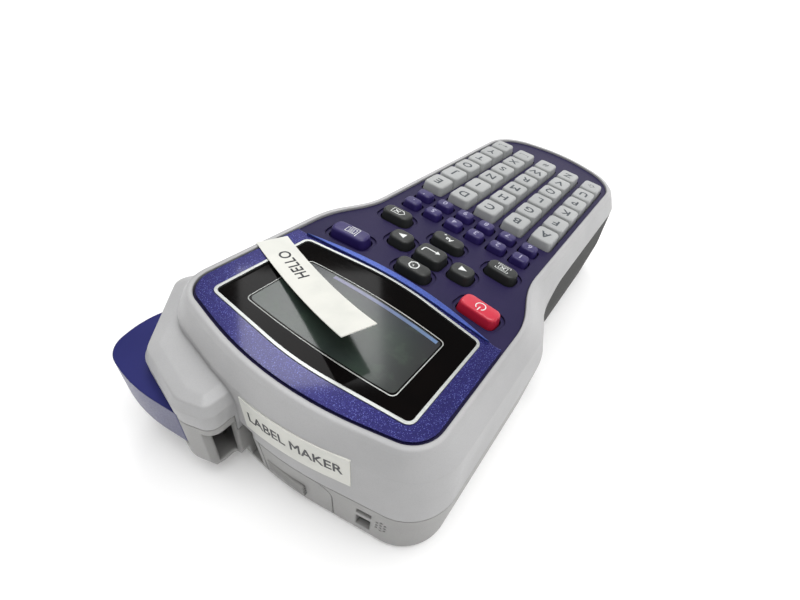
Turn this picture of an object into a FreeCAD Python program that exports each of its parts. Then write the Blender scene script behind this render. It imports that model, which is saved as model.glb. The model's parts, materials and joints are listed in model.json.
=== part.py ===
"""Handheld label printer with a keyboard, display, cutter lever and tape compartment.

Frame: origin on the underside, on the centre line, half way along the body.
+Y runs from the grip to the display end, +X to the cutter side, +Z up out of
the keyboard. All sizes are in millimetres.
"""
import FreeCAD, Part
import math
import os
from collections import namedtuple
from FreeCAD import Vector

# ---------------------------------------------------------------- main sizes
WALL = 2.0                      # thickness of every case wall
SEAM = 0.15                     # open line between two case shells
PANEL_TOP = 47.0                # height of the keyboard panel above the table
PANEL_HALF = 37.5               # half width of the panel at the display
GRIP_HALF = 30.9                # half width of the panel at the grip
DISPLAY_END_Y = 99.2            # panel ends, on the centre line
GRIP_END_Y = -97.0
PANEL_THICK = 2.0
GAP = 0.3                       # clearance round pieces that move or drop in
KEY_TRAVEL = 1.2
FLANGE_DROP = 0.2               # from the panel's underside to a key's flange
FLANGE_THICK = 0.9
DECK_THICK = FLANGE_DROP + FLANGE_THICK + KEY_TRAVEL + GAP   # ledge that carries the panel
KEYMAT_THICK = 1.2
BOARD_THICK = 1.6
SPLIT_Z = 21.0                  # upper case meets lower case here
GRIP_TOP_Z = 38.0               # light case meets the dark grip here
REACH = 130.0                   # larger than any half size, for cutting tools

PANEL_BOTTOM = PANEL_TOP - PANEL_THICK
DECK_BOTTOM = PANEL_BOTTOM - DECK_THICK
KEYMAT_BOTTOM = DECK_BOTTOM - KEYMAT_THICK
BOARD_BOTTOM = KEYMAT_BOTTOM - BOARD_THICK

# The plan outline at one height: half widths of the display and grip ends, the
# y of the two ends, how far the display end bows out, where the waist starts,
# and the radius of the display corners.
Level = namedtuple("Level", "z display_half grip_half end_y end_bow far_y waist_y corner_r")


def level_at(z, display_out, grip_out, end_out, end_bow, far_out, waist_y, corner_r):
    """A level that stands out from the panel's outline by the given amounts."""
    return Level(z, PANEL_HALF + display_out, GRIP_HALF + grip_out, DISPLAY_END_Y + end_out, end_bow,
                 GRIP_END_Y - far_out, waist_y, corner_r)


PANEL = level_at(PANEL_TOP, 0.0, 0.0, 0.0, 9.0, 0.0, 38.0, 9.0)
RIM_TOP = level_at(PANEL_TOP + 0.8, 1.4, 1.3, 1.3, 9.0, 1.3, 37.5, 10.5)
RIM_EDGE = level_at(PANEL_TOP - 0.4, 2.5, 2.7, 2.2, 9.2, 2.4, 36.5, 11.5)
CREASE = level_at(PANEL_TOP - 7.0, 6.5, 5.9, 4.2, 10.0, 5.0, 30.0, 15.0)
SIDE = level_at(SPLIT_Z, 9.1, 7.5, 3.2, 8.4, 5.6, 17.0, 15.0)
FOOT = level_at(2.0, 9.5, 6.7, 1.0, 6.6, 4.4, 17.0, 14.0)
SOLE = level_at(0.0, 7.9, 5.1, -0.6, 6.4, 2.8, 17.0, 12.6)
BODY_LEVELS = [SOLE, FOOT, SIDE, CREASE, RIM_EDGE, RIM_TOP]
END_BOW_R = 100.0               # bow of the display end
WAIST_RUN = 17.0                # length of the sloping waist
WAIST_R = 34.0
FAR_CORNER_R = 20.0
FAR_BOW = 9.0
FAR_BOW_R = 46.0

# Cutter housing: a bulge on the display corner, on the +X side.
HOUSING_CORNERS = [(40.0, 60.0, 0.0), (45.5, 62.0, 4.0), (54.6, 84.0, 6.0), (36.5, 105.4, 8.0),
                   (18.5, 110.2, 8.0), (10.0, 107.8, 3.6), (10.0, 92.0, 0.0)]
HOUSING_TOP = 37.0
HOUSING_BOTTOM = 6.0
HOUSING_SPLIT_Z = 27.6          # the split steps up in the housing's nose
HOUSING_SPLIT_Y = 101.3
HOUSING_ROUND = 4.0

# Side view of the line where the light case meets the dark grip.
GRIP_BEND = (-5.0, 12.0)        # y and radius of its upper bend
GRIP_FOOT = (13.0, 2.0, 10.0)   # y, height over the split and radius of its lower bend
GRIP_END = 24.0                 # y where it leaves the underside

# Cutter lever and blade.
LEVER_PIVOT = (20.5, 100.5)
LEVER_CORNERS = [(49.9, 85.0, 0.8), (52.0, 96.0, 24.0), (48.6, 108.4, 9.0), (34.0, 111.3, 50.0),
                 (19.4, 109.7, 1.2), (17.4, 99.0, 3.0), (26.0, 95.5, 5.0), (41.0, 91.0, 6.0)]
MOUTH_Y = 83.2                  # where the housing wall ends and the lever comes out
MOUTH_SIDE = ((16.6, 97.0), (19.5, 112.6))   # the nose's edge beside the lever's end
LEVER_TOP = 29.0
LEVER_HEIGHT = 13.5
LEVER_SKIN = 2.0
LEVER_ARM = 10.5                # pivot to the pad that pushes the blade
LEVER_PAD_R = 1.8
PIN_R = 1.5
FIT = 0.05                      # radial running clearance on pins and shafts

# Tape path: the tape runs upright along +Y in the plane x = TAPE_X.
TAPE_X = 7.5
TAPE_THICK = 0.2
TAPE_WIDTH = 12.0
BLADE_Y = 93.3
BLADE_THICK = 0.8
BLADE_REST = 1.1                # moving edge to tape plane, at rest
SLOT_WIDTH = 5.0                # tape exit slot
SLOT_BOTTOM = 4.5
SLOT_TOP = 24.0
NOTCH_X = 13.2                  # the housing's corner is cut away beside the slot
NOTCH_Y = 101.6

# Cassette and the frame around it.
CASSETTE_SIZE = (46.0, 52.0, 17.0)
CASSETTE_CORNER = (-39.0, 38.0)
FRAME_Z = 24.0                  # underside of the mechanism frame plate
FRAME_THICK = 2.0
FRAME_WALL = 1.6
FRAME_POST_R = 2.0
FRAME_POSTS = [(-32.0, 44.0), (-32.0, 84.0), (32.0, 43.0), (32.3, 83.5)]
FRAME_HALF = 42.6               # the plate's flange reaches out under the case seam
FRAME_CORNERS = [(-FRAME_HALF, 35.0, 3.0), (FRAME_HALF, 35.0, 3.0), (FRAME_HALF, 77.0, 4.0),
                 (36.0, 85.5, 3.0), (24.0, 88.0, 2.0), (17.0, 88.0, 0.0), (17.0, 96.6, 1.0),
                 (8.6, 96.6, 1.0), (8.6, 93.4, 0.0), (-35.0, 93.4, 6.0), (-FRAME_HALF, 84.0, 6.0)]

# Gear train.
MODULE = 0.8
TOOTH_RISE = 0.8                # tip and root of a tooth from the pitch line, in modules
TOOTH_DROP = 1.2
GEAR_THICK = 2.8
LAYER_1 = FRAME_Z + FRAME_THICK + 0.5
LAYER_2 = LAYER_1 + GEAR_THICK + 0.7
PINION_TEETH = 12
REDUCTION_TEETH = 36
FEED_TEETH = 32
RIBBON_TEETH = 20
FEED_PLACE = (3.0, 82.0)
REDUCTION_TURN = -31.5          # direction from the feed gear to the reduction gear
MOTOR_TURN = -38.7              # direction from the reduction gear to the motor
RIBBON_TURN = 203.7             # direction from the reduction gear to the ribbon gear
MOTOR_R = 8.0
MOTOR_LENGTH = 15.0

# Roller holder.
PLATEN_R = 4.0
PLATEN_Y = 70.0
HOLDER_PIVOT = (17.5, 57.0)
HOLDER_BOTTOM = 4.2
HOLDER_THICK = 1.6

# Batteries: six AAA cells side by side.
CELL_R = 5.25
CELL_LENGTH = 44.5
CELL_COUNT = 6
CELL_SPACE = 0.4                # free space between two cells
CELL_PITCH = 2 * CELL_R + CELL_SPACE
TRAY_WALL = 1.4
TRAY_Y = -55.0                  # middle of the battery tray
CONTACT_ROOM = 3.0              # room for a contact at each end of a cell

# Case screws.
SCREW_R = 1.25
SCREW_HEAD_R = 2.2
SCREW_HEAD_TOP = 1.6
SCREW_TOP = 14.0
BOSS_R = 2.6

# Power socket, strap slot and sound holes.
JACK_Y = 43.0
JACK_Z = 12.0
JACK_BODY = 9.0                 # along Y and in height
JACK_COLLAR_R = 3.8
JACK_BORE_R = 2.8
JACK_LENGTH = 8.4
STRAP_POCKETS = ((-31.3, -27.0), (5.4, 12.2), (14.4, 17.0))   # x span, and z span of each pocket
BUZZER_PLACE = (-31.0, 13.0)    # in x and z
BUZZER_R = 4.0
BUZZER_THICK = 1.5
SOUND_HOLE_R = 0.4
SOUND_PITCH = (1.15, 1.9)
SOUND_PLACE = (-35.4, 10.6)     # lowest hole of the outer column, in x and z

# Cover.
COVER_RIM = 6.0                 # case edge left round the cover
COVER_GAP = 0.3
HOOK_SIZE = (5.0, 8.0, 1.4)
HOOK_REACH = 3.0                # how far a hook lies over the case's edge
HOOK_X = 5.5
CATCH_SPAN = (-20.0, 3.4)       # catch tab on the display end wall, up to the split
CATCH_CORNER_R = 6.0
CATCH_RIB_SPAN = (-11.5, 1.5)
CATCH_RIB_R = 0.5
CATCH_RIB_PITCH = 1.75
CATCH_RIB_Z = 6.8
CATCH_RIB_COUNT = 4
LATCH_HEIGHT = 3.0              # ledge behind the tab that joins the lower case across it
LATCH_THICK = 1.6
LATCH_OVERLAP = 2.0

# Keys.
LETTER_PITCH = (12.0, 11.87)
LETTER_SIZE = (9.4, 10.9)
LETTER_TOP = PANEL_TOP + 3.2
LETTER_FIRST_Y = -10.0
LETTER_ROWS = 6
LETTER_COLUMNS = 5
NUMBER_PITCH = (9.08, 8.31)
NUMBER_SIZE = (6.9, 5.7)
NUMBER_TOP = PANEL_TOP + 2.4
NUMBER_FIRST_Y = 9.8
NUMBER_ROWS = 2
NUMBER_COLUMNS = 6
FUNCTION_TOP = PANEL_TOP + 2.6
# name: (x, y, width, length, turn in degrees, corner radius)
FUNCTION_KEYS = {
    "power_key": (-24.6, 43.0, 13.4, 6.6, -5.0, 2.0),
    "print_key": (24.2, 42.4, 13.4, 6.6, 6.0, 2.0),
    "setting_key": (0.0, 41.8, 12.4, 6.0, 0.0, 2.4),
    "left_key": (-11.9, 31.9, 8.6, 7.0, 0.0, 2.4),
    "enter_key": (0.0, 31.9, 10.6, 8.2, 0.0, 2.0),
    "right_key": (11.8, 31.7, 8.6, 7.0, 0.0, 2.4),
    "symbol_key": (0.0, 21.1, 12.4, 6.0, 0.0, 2.4),
    "clear_key": (-21.2, 21.1, 11.4, 6.6, -3.0, 2.4),
    "delete_key": (21.3, 21.2, 11.4, 6.6, 3.0, 2.4),
}
WELL_MARGIN = 1.2               # shallow well in the panel round each function key
WELL_DEPTH = 0.6

# Circuit board: chips on its underside, as x and y spans.
CHIP_THICK = 1.5
CHIPS = [((-9.0, 5.0), (-46.0, -32.0)), ((-20.0, -8.0), (-4.0, 4.0)), ((10.0, 20.0), (4.0, 18.0))]

# Display.
WINDOW_HALF = 30.6
WINDOW_FAR_Y = 54.6
WINDOW_NEAR_Y = 86.4
WINDOW_FAR_BOW = 4.4
WINDOW_NEAR_BOW = 3.2
WINDOW_BOTTOM = PANEL_TOP - 0.7
WINDOW_THICK = 1.2
TRIM_WIDTH = 0.9
BEZEL_MARGIN = 0.6              # panel edge left bare round the bezel
BEZEL_THICK = 0.9
BEZEL_FAR_MARGIN = 1.4          # bezel past the trim, on the keyboard side
BEZEL_BOW_R = 110.0
RIDGE_HEIGHT = 1.7
RIDGE_WIDTH = 3.2
LCD_SIZE = (52.0, 29.0)
LCD_Y = 71.5

# Labels.
STRIP_THICK = 0.25
STRIP_SIZE = (51.0, 9.3)
STRIP_START = (37.3, 62.2)      # middle of the end that lies on the rim
STRIP_TURN = 160.0              # direction of the strip in plan
STRIP_CURL_R = 150.0            # the free end curls up off the window
STRIP_LIFT = 1.1                # underside above the panel at the resting end
TITLE_LABEL = (31.4, 12.0)
TITLE_LABEL_PLACE = (-8.9, 33.4)
TITLE_LABEL_TILT = 4.2


# ------------------------------------------------------------- shape helpers
def box(x, y, z):
    """A box from three (low, high) pairs."""
    return Part.makeBox(x[1] - x[0], y[1] - y[0], z[1] - z[0], Vector(x[0], y[0], z[0]))


def upright(place, radius, z):
    """A vertical cylinder from z[0] to z[1]."""
    return Part.makeCylinder(radius, z[1] - z[0], Vector(place[0], place[1], z[0]))


def along_y(x, z, radius, y):
    """A cylinder along +Y from y[0] to y[1]."""
    return Part.makeCylinder(radius, y[1] - y[0], Vector(x, y[0], z), Vector(0, 1, 0))


def along_x(y, z, radius, x):
    """A cylinder along +X from x[0] to x[1]."""
    return Part.makeCylinder(radius, x[1] - x[0], Vector(x[0], y, z), Vector(1, 0, 0))


def turned(shape, place, degrees):
    """The shape turned about the upright line through place."""
    copy = shape.copy()
    copy.rotate(Vector(place[0], place[1], 0), Vector(0, 0, 1), degrees)
    return copy


def moved(shape, x, y, z=0.0):
    copy = shape.copy()
    copy.translate(Vector(x, y, z))
    return copy


def inset(corners, distance):
    """The same rounded polygon with every side moved inward by distance."""
    count = len(corners)
    area = sum(corners[i - 1][0] * corners[i][1] - corners[i][0] * corners[i - 1][1] for i in range(count))
    side = 1.0 if area > 0 else -1.0
    result = []
    for i, (x, y, radius) in enumerate(corners):
        here = Vector(x, y, 0)
        before = (here - Vector(*corners[i - 1][:2], 0)).normalize()
        after = (Vector(*corners[(i + 1) % count][:2], 0) - here).normalize()
        normal_before = Vector(-before.y, before.x, 0) * side
        normal_after = Vector(-after.y, after.x, 0) * side
        shift = (normal_before + normal_after) * (distance / (1 + normal_before.dot(normal_after)))
        convex = side * (before.x * after.y - before.y * after.x) > 0
        new_radius = radius and max(radius - distance if convex else radius + distance, 0.3)
        result.append((x + shift.x, y + shift.y, new_radius))
    return result


def rounded_wire(corners, z):
    """Closed wire through corners (x, y, radius), with an arc at each rounded corner."""
    count = len(corners)
    ends = []
    for i, (x, y, radius) in enumerate(corners):
        here = Vector(x, y, z)
        if not radius:
            ends.append((here, None, here))
            continue
        back = (Vector(*corners[i - 1][:2], z) - here).normalize()
        onward = (Vector(*corners[(i + 1) % count][:2], z) - here).normalize()
        half_angle = back.getAngle(onward) / 2
        middle = (back + onward).normalize()
        centre = here + middle * (radius / math.sin(half_angle))
        reach = radius / math.tan(half_angle)
        ends.append((here + back * reach, centre - middle * radius, here + onward * reach))
    edges = []
    for i, (start, crown, end) in enumerate(ends):
        if crown:
            edges.append(Part.Arc(start, crown, end).toShape())
        edges.append(Part.LineSegment(end, ends[(i + 1) % count][0]).toShape())
    return Part.Wire(edges)


def prism(corners, z):
    """Rounded polygon pulled up from z[0] to z[1]."""
    face = Part.Face(rounded_wire(corners, z[0]))
    return face.extrude(Vector(0, 0, z[1] - z[0]))


def stack(sections):
    """Solid through (corners, z) sections, with straight sides between them."""
    wires = [rounded_wire(corners, z) for corners, z in sections]
    return Part.makeLoft(wires, True, True)


def rectangle(x, y, width, length, radius):
    """Corners of a rounded rectangle centred on x, y."""
    right, top = width / 2, length / 2
    signs = [(1, 1), (-1, 1), (-1, -1), (1, -1)]
    return [(x + right * i, y + top * j, radius) for i, j in signs]


def in_yz(corners, x):
    """Rounded polygon given as (y, z, radius), pulled along X from x[0] to x[1]."""
    flat = prism(corners, (0.0, x[1] - x[0]))
    # Cyclic turn of the axes: the drawn plane becomes YZ and the pull becomes X.
    axes = FreeCAD.Matrix(0, 0, 1, x[0], 1, 0, 0, 0, 0, 1, 0, 0, 0, 0, 0, 1)
    return flat.transformGeometry(axes)


def fuse(*shapes):
    """The shapes joined into one, with split faces merged."""
    return shapes[0].multiFuse(list(shapes[1:])).removeSplitter()


def write(node, shape):
    """Write one node as STEP and report how many solids it holds."""
    shape.exportStep("parts/%s.step" % node)
    found = (node, len(shape.Solids), shape.isValid(), shape.Volume)
    print("%-18s solids %2d  valid %s  volume %.1f" % found)


# --------------------------------------------------------------- body shells
def outline(level, distance=0.0):
    """Corners of the body outline at one level, moved inward by distance."""
    corner_y = level.end_y - level.end_bow
    far_corner_y = level.far_y + FAR_BOW
    waist = (level.display_half, level.waist_y, WAIST_R)
    waist_end = (level.grip_half, level.waist_y - WAIST_RUN, WAIST_R)
    right = [(level.display_half, corner_y, level.corner_r), waist, waist_end,
             (level.grip_half, far_corner_y, FAR_CORNER_R)]
    left = [(-x, y, radius) for x, y, radius in reversed(right)]
    corners = [(0.0, level.end_y, END_BOW_R)] + right + [(0.0, level.far_y, FAR_BOW_R)] + left
    return inset(corners, distance)


def between(low, high, z):
    """The level at height z on the straight side between two levels."""
    share = (z - low.z) / (high.z - low.z)
    return Level(*(a + (b - a) * share for a, b in zip(low, high)))


def body_solid(distance=0.0):
    """The whole body without the cutter housing."""
    return stack([(outline(level, distance), level.z) for level in BODY_LEVELS])


def body_cavity():
    """The space inside the case walls, from the underside wall to the panel deck."""
    low = between(SOLE, FOOT, FOOT.z)._replace(z=WALL)
    top = between(CREASE, RIM_EDGE, DECK_BOTTOM)
    levels = [low, SIDE, CREASE, top]
    return stack([(outline(level, WALL), level.z) for level in levels])


def housing_solid():
    """The cutter housing with rounded top and bottom edges."""
    soft = HOUSING_ROUND
    sections = [
        (inset(HOUSING_CORNERS, soft * 0.9), HOUSING_BOTTOM),
        (inset(HOUSING_CORNERS, soft * 0.25), HOUSING_BOTTOM + soft * 0.3),
        (HOUSING_CORNERS, HOUSING_BOTTOM + soft),
        (HOUSING_CORNERS, HOUSING_TOP - soft),
        (inset(HOUSING_CORNERS, soft * 0.3), HOUSING_TOP - soft * 0.3),
        (inset(HOUSING_CORNERS, soft), HOUSING_TOP),
    ]
    return stack(sections)


def housing_cavity():
    corners = inset(HOUSING_CORNERS, WALL + 0.2)
    room = prism(corners, (HOUSING_BOTTOM + WALL, HOUSING_TOP - WALL))
    keep_clear = prism(outline(CREASE, -WALL), (GRIP_TOP_Z - 1.0, REACH))
    return room.cut(keep_clear)


def lever_mouth():
    """The opening in the housing wall through which the lever comes out."""
    inner, outer = MOUTH_SIDE
    corners = [(REACH, MOUTH_Y, 0.0), (40.0, MOUTH_Y, 0.0), (*inner, 0.0), (*outer, 0.0),
               (outer[0], REACH, 0.0), (REACH, REACH, 0.0)]
    return prism(corners, (LEVER_TOP - LEVER_HEIGHT - 0.5, LEVER_TOP + 0.5))


def tape_exit():
    """The slot in the end wall beside the housing, and the notch in the housing corner."""
    slot_x = (TAPE_X - SLOT_WIDTH / 2, TAPE_X + SLOT_WIDTH / 2)
    slot = box(slot_x, (90.0, 104.0), (SLOT_BOTTOM, SLOT_TOP))
    notch = [(TAPE_X, NOTCH_Y, 0.0), (NOTCH_X, NOTCH_Y, 1.0), (NOTCH_X, REACH, 0.0), (TAPE_X, REACH, 0.0)]
    return fuse(slot, prism(notch, (HOUSING_BOTTOM - 1.0, HOUSING_SPLIT_Z - 2.4)))


def grip_region():
    """Everything below the line where the light case meets the dark grip."""
    bend_y, bend_r = GRIP_BEND
    foot_y, foot_rise, foot_r = GRIP_FOOT
    corners = [(-REACH, GRIP_TOP_Z, 0.0), (bend_y, GRIP_TOP_Z, bend_r), (foot_y, SPLIT_Z + foot_rise, foot_r),
               (GRIP_END, -4.0, 0.0), (-REACH, -4.0, 0.0)]
    return in_yz(corners, (-REACH, REACH))


def cover_region(gap):
    """The opening for the back cover, in the underside and up the end wall."""
    plan = prism(outline(FOOT, COVER_RIM + gap), (-1.0, WALL + 0.01))
    left, right = CATCH_SPAN[0] + gap, CATCH_SPAN[1] - gap
    sole_tongue = box((left, right), (80.0, 110.0), (-1.0, WALL + 0.01))
    return fuse(plan, sole_tongue, catch_region(gap))


def catch_region(gap):
    """The catch tab's part of the end wall, with its outer top corner rounded."""
    left, right = CATCH_SPAN[0] + gap, CATCH_SPAN[1] - gap
    y = (90.0, 110.0)
    corner_z = SPLIT_Z - CATCH_CORNER_R
    full_height = box((left + CATCH_CORNER_R, right), y, (-1.0, SPLIT_Z))
    full_width = box((left, right), y, (-1.0, corner_z))
    corner = along_y(left + CATCH_CORNER_R, corner_z, CATCH_CORNER_R - 0.01, y)
    return fuse(full_height, full_width, corner)


def latch_ledge():
    """Ledge just inside the catch tab, which carries the lower case's edge across the opening."""
    outer = body_solid(WALL + GAP)
    inner = body_solid(WALL + GAP + LATCH_THICK)
    span = (CATCH_SPAN[0] - LATCH_OVERLAP, CATCH_SPAN[1] + LATCH_OVERLAP / 2)
    z = (SPLIT_Z - LATCH_HEIGHT, SPLIT_Z)
    ends = [box((span[0], CATCH_SPAN[0]), (90.0, 110.0), z), box((CATCH_SPAN[1], span[1]), (90.0, 110.0), z)]
    feet = body_solid(WALL - 0.1).cut(inner).common(fuse(*ends))
    band = outer.cut(inner).common(box(span, (90.0, 110.0), z))
    return fuse(band, feet)


def screw_places():
    """Six case screws: two at the far corners, two in the grip, two past the waist."""
    corner = (FAR_CORNER_R - COVER_RIM / 2 + 0.3) * math.sqrt(0.5)
    half_turn = math.pi / 4 + math.atan2(FAR_BOW, FOOT.grip_half) / 2
    far_x = FOOT.grip_half - FAR_CORNER_R + corner
    far_y = FOOT.far_y + FAR_BOW + FAR_CORNER_R / math.tan(half_turn) - corner
    grip_x = FOOT.grip_half - COVER_RIM / 2 - 0.4
    display_x = FOOT.display_half - COVER_RIM / 2 - 0.3
    right = [(far_x, far_y), (grip_x, -10.0), (display_x, 28.0)]
    return right + [(-x, y) for x, y in right]


def screw_seats():
    """Bosses for the screws, and the counterbores and bores to cut in them."""
    bosses = posts(screw_places(), BOSS_R, (WALL, SCREW_TOP))
    bores = posts(screw_places(), SCREW_R + FIT, (-1.0, SCREW_TOP + 1.0))
    seats = posts(screw_places(), SCREW_HEAD_R + GAP, (-1.0, SCREW_HEAD_TOP))
    return bosses, bores + seats


def case_shells():
    """Upper case, lower case, grip shell and back cover, cut from one shell."""
    outside = fuse(body_solid(), housing_solid())
    cavity = fuse(body_cavity(), housing_cavity())
    bosses, bores = screw_seats()
    shell = fuse(outside.cut(cavity), *bosses)
    panel_seat = prism(outline(PANEL, -SEAM), (PANEL_BOTTOM, REACH))
    shell = shell.cut([lever_mouth(), tape_exit(), panel_seat] + bores)
    grip = grip_region()
    grip_seam = moved(grip, 0.0, SEAM, SEAM)
    opening = cover_region(0.0)
    upper = shell.cut(grip_seam).cut(below_split(SEAM))
    lower = fuse(shell.common(below_split(0.0)).cut(grip_seam).cut(opening), latch_ledge())
    grip_piece = shell.common(grip).cut(opening)
    cover = shell.common(cover_region(COVER_GAP))
    return upper, lower, grip_piece, cover


def below_split(gap):
    """Everything below the split between the shells, which steps up in the housing's nose."""
    low = box((-REACH, REACH), (-REACH, REACH), (-5.0, SPLIT_Z + gap))
    nose = box((HOUSING_CORNERS[-1][0], REACH), (HOUSING_SPLIT_Y - gap, REACH), (0.0, HOUSING_SPLIT_Z + gap))
    return fuse(low, nose)


def posts(places, radius, z):
    return [upright(place, radius, z) for place in places]


def upper_case(shell):
    """Light upper shell with its deck openings and screw posts."""
    for tool in deck_openings():
        shell = shell.cut(tool)
    return shell


def lower_case(shell):
    """Light lower shell with the socket hole, strap slot and sound holes."""
    jack_hole = along_x(JACK_Y, JACK_Z, JACK_COLLAR_R + GAP, (jack_outer_x() - 2.0, REACH))
    return shell.cut([jack_hole] + end_wall_holes())


def deck_openings():
    """One opening in the deck for the keys of each kind and one for the display."""
    letters_length = LETTER_PITCH[1] * LETTER_ROWS
    letters_y = LETTER_FIRST_Y - LETTER_PITCH[1] * (LETTER_ROWS - 1) / 2
    letters_width = LETTER_PITCH[0] * LETTER_COLUMNS
    top = PANEL_BOTTOM + 0.01
    z = (DECK_BOTTOM - 0.01, top)
    tools = [prism(rectangle(0.0, letters_y, letters_width, letters_length, 1.0), z)]
    low_y = number_y(NUMBER_ROWS - 1) - NUMBER_SIZE[1] / 2 - 1.2
    upper_keys = [(33.0, 48.4, 2.0), (-33.0, 48.4, 2.0), (-28.6, low_y, 2.0), (28.6, low_y, 2.0)]
    tools.append(prism(upper_keys, z))
    tools.append(prism(rectangle(0.0, LCD_Y, LCD_SIZE[0] + 2 * GAP, LCD_SIZE[1] + 2 * GAP, 1.0), z))
    return tools


def back_cover(shell):
    """Cover with finger ribs on its catch tab and two hooks over the far edge."""
    hinge_y = cover_end_y()
    pieces = [shell]
    for i in range(CATCH_RIB_COUNT):
        z = CATCH_RIB_Z + CATCH_RIB_PITCH * i
        pieces.append(along_x(body_end_y(z) - 0.15, z, CATCH_RIB_R, CATCH_RIB_SPAN))
    for x in (-HOOK_X, HOOK_X):
        width, length, rise = HOOK_SIZE
        span = (x - width / 2, x + width / 2)
        root_y = hinge_y + length - HOOK_REACH
        foot = box(span, (hinge_y + 0.5, root_y), (WALL - 0.5, WALL + 0.2))
        claw = box(span, (hinge_y - HOOK_REACH, root_y), (WALL + 0.15, WALL + rise))
        pieces += [foot, claw]
    return fuse(*pieces)


def body_end_y(z):
    """y of the display end wall on the centre line, at a height in the lower case."""
    level = between(FOOT, SIDE, z)
    slope = math.atan2(level.end_bow, level.display_half)
    return level.end_y - END_BOW_R * (1 / math.cos(slope) - 1)


def cover_end_y():
    """y of the cover's far edge on the centre line; the cover turns about its lower corner."""
    far = FOOT.far_y + FAR_BOW_R * (1 / math.cos(math.atan2(FAR_BOW, FOOT.grip_half)) - 1)
    return far + COVER_RIM + COVER_GAP


# -------------------------------------------------------- panel and display
def window_corners(margin):
    """Window outline grown by margin; both long sides bow outward."""
    half = WINDOW_HALF
    far, near = WINDOW_FAR_Y, WINDOW_NEAR_Y
    corners = [(half, near, 1.6), (0.0, near + WINDOW_NEAR_BOW, 90.0), (-half, near, 1.6),
               (-half, far, 1.6), (0.0, far - WINDOW_FAR_BOW, 80.0), (half, far, 1.6)]
    return inset(corners, -margin)


def letter_x(column):
    return LETTER_PITCH[0] * (column - (LETTER_COLUMNS - 1) / 2)


def letter_y(row):
    return LETTER_FIRST_Y - LETTER_PITCH[1] * row


def number_x(column):
    return NUMBER_PITCH[0] * (column - (NUMBER_COLUMNS - 1) / 2)


def number_y(row):
    return NUMBER_FIRST_Y - NUMBER_PITCH[1] * row


def keypad_panel():
    """Dark panel with a slot per letter column and a hole per other key."""
    panel = prism(outline(PANEL), (PANEL_BOTTOM, PANEL_TOP))
    z = (PANEL_BOTTOM - 1.0, PANEL_TOP + 1.0)
    tools = []
    length = LETTER_PITCH[1] * (LETTER_ROWS - 1) + LETTER_SIZE[1] + 2 * GAP
    middle = (letter_y(0) + letter_y(LETTER_ROWS - 1)) / 2
    for column in range(LETTER_COLUMNS):
        width = LETTER_SIZE[0] + 2 * GAP
        tools.append(prism(rectangle(letter_x(column), middle, width, length, 1.6), z))
    for row in range(NUMBER_ROWS):
        for column in range(NUMBER_COLUMNS):
            width, depth = (size + 2 * GAP for size in NUMBER_SIZE)
            tools.append(prism(rectangle(number_x(column), number_y(row), width, depth, 1.6), z))
    for x, y, width, depth, turn, radius in FUNCTION_KEYS.values():
        hole = rectangle(x, y, width + 2 * GAP, depth + 2 * GAP, radius + GAP)
        well = inset(hole, -WELL_MARGIN)
        tools.append(turned(prism(hole, z), (x, y), turn))
        tools.append(turned(prism(well, (PANEL_TOP - WELL_DEPTH, PANEL_TOP + 1.0)), (x, y), turn))
    tools.append(prism(rectangle(0.0, LCD_Y, LCD_SIZE[0] + 2 * GAP, LCD_SIZE[1] + 2 * GAP, 1.0), z))
    tools.append(prism(window_corners(TRIM_WIDTH + 0.05), (WINDOW_BOTTOM, PANEL_TOP + 1.0)))
    return panel.cut(tools)


def display_bezel():
    """Metallic surround of the window, with a raised ridge on the keyboard side."""
    half = PANEL.display_half - BEZEL_MARGIN
    end = outline(PANEL, BEZEL_MARGIN)
    plate = prism(end, (PANEL_TOP, PANEL_TOP + BEZEL_THICK))
    trim_line = WINDOW_FAR_Y - TRIM_WIDTH
    edge_line = trim_line - BEZEL_FAR_MARGIN
    crown = trim_line - WINDOW_FAR_BOW - RIDGE_WIDTH
    keep = [(-REACH, REACH, 0.0), (-REACH, edge_line, 0.0), (-half + 3.0, edge_line, 4.0),
            (0.0, crown - BEZEL_FAR_MARGIN, BEZEL_BOW_R), (half - 3.0, edge_line, 4.0),
            (REACH, edge_line, 0.0), (REACH, REACH, 0.0)]
    plate = plate.common(prism(keep, (PANEL_TOP - 1.0, PANEL_TOP + 3.0)))
    ridge_out = [(-half + 4.0, trim_line - 1.0, 0.0), (0.0, crown - 1.2, BEZEL_BOW_R),
                 (half - 4.0, trim_line - 1.0, 0.0), (0.0, trim_line - WINDOW_FAR_BOW, BEZEL_BOW_R)]
    ridge = prism(ridge_out, (PANEL_TOP, PANEL_TOP + RIDGE_HEIGHT))
    hole = prism(window_corners(TRIM_WIDTH + 0.05), (PANEL_TOP - 1.0, PANEL_TOP + 4.0))
    return fuse(plate, ridge).cut(hole)


def display_trim():
    z = (WINDOW_BOTTOM, PANEL_TOP + BEZEL_THICK + 0.2)
    return prism(window_corners(TRIM_WIDTH), z).cut(prism(window_corners(0.05), (z[0] - 1.0, z[1] + 1.0)))


def display_window():
    return prism(window_corners(0.0), (WINDOW_BOTTOM, WINDOW_BOTTOM + WINDOW_THICK))


def lcd_module():
    """Glass cell in a frame, standing on the board under the window."""
    return prism(rectangle(0.0, LCD_Y, *LCD_SIZE, 0.8), (KEYMAT_BOTTOM, WINDOW_BOTTOM))


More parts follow.
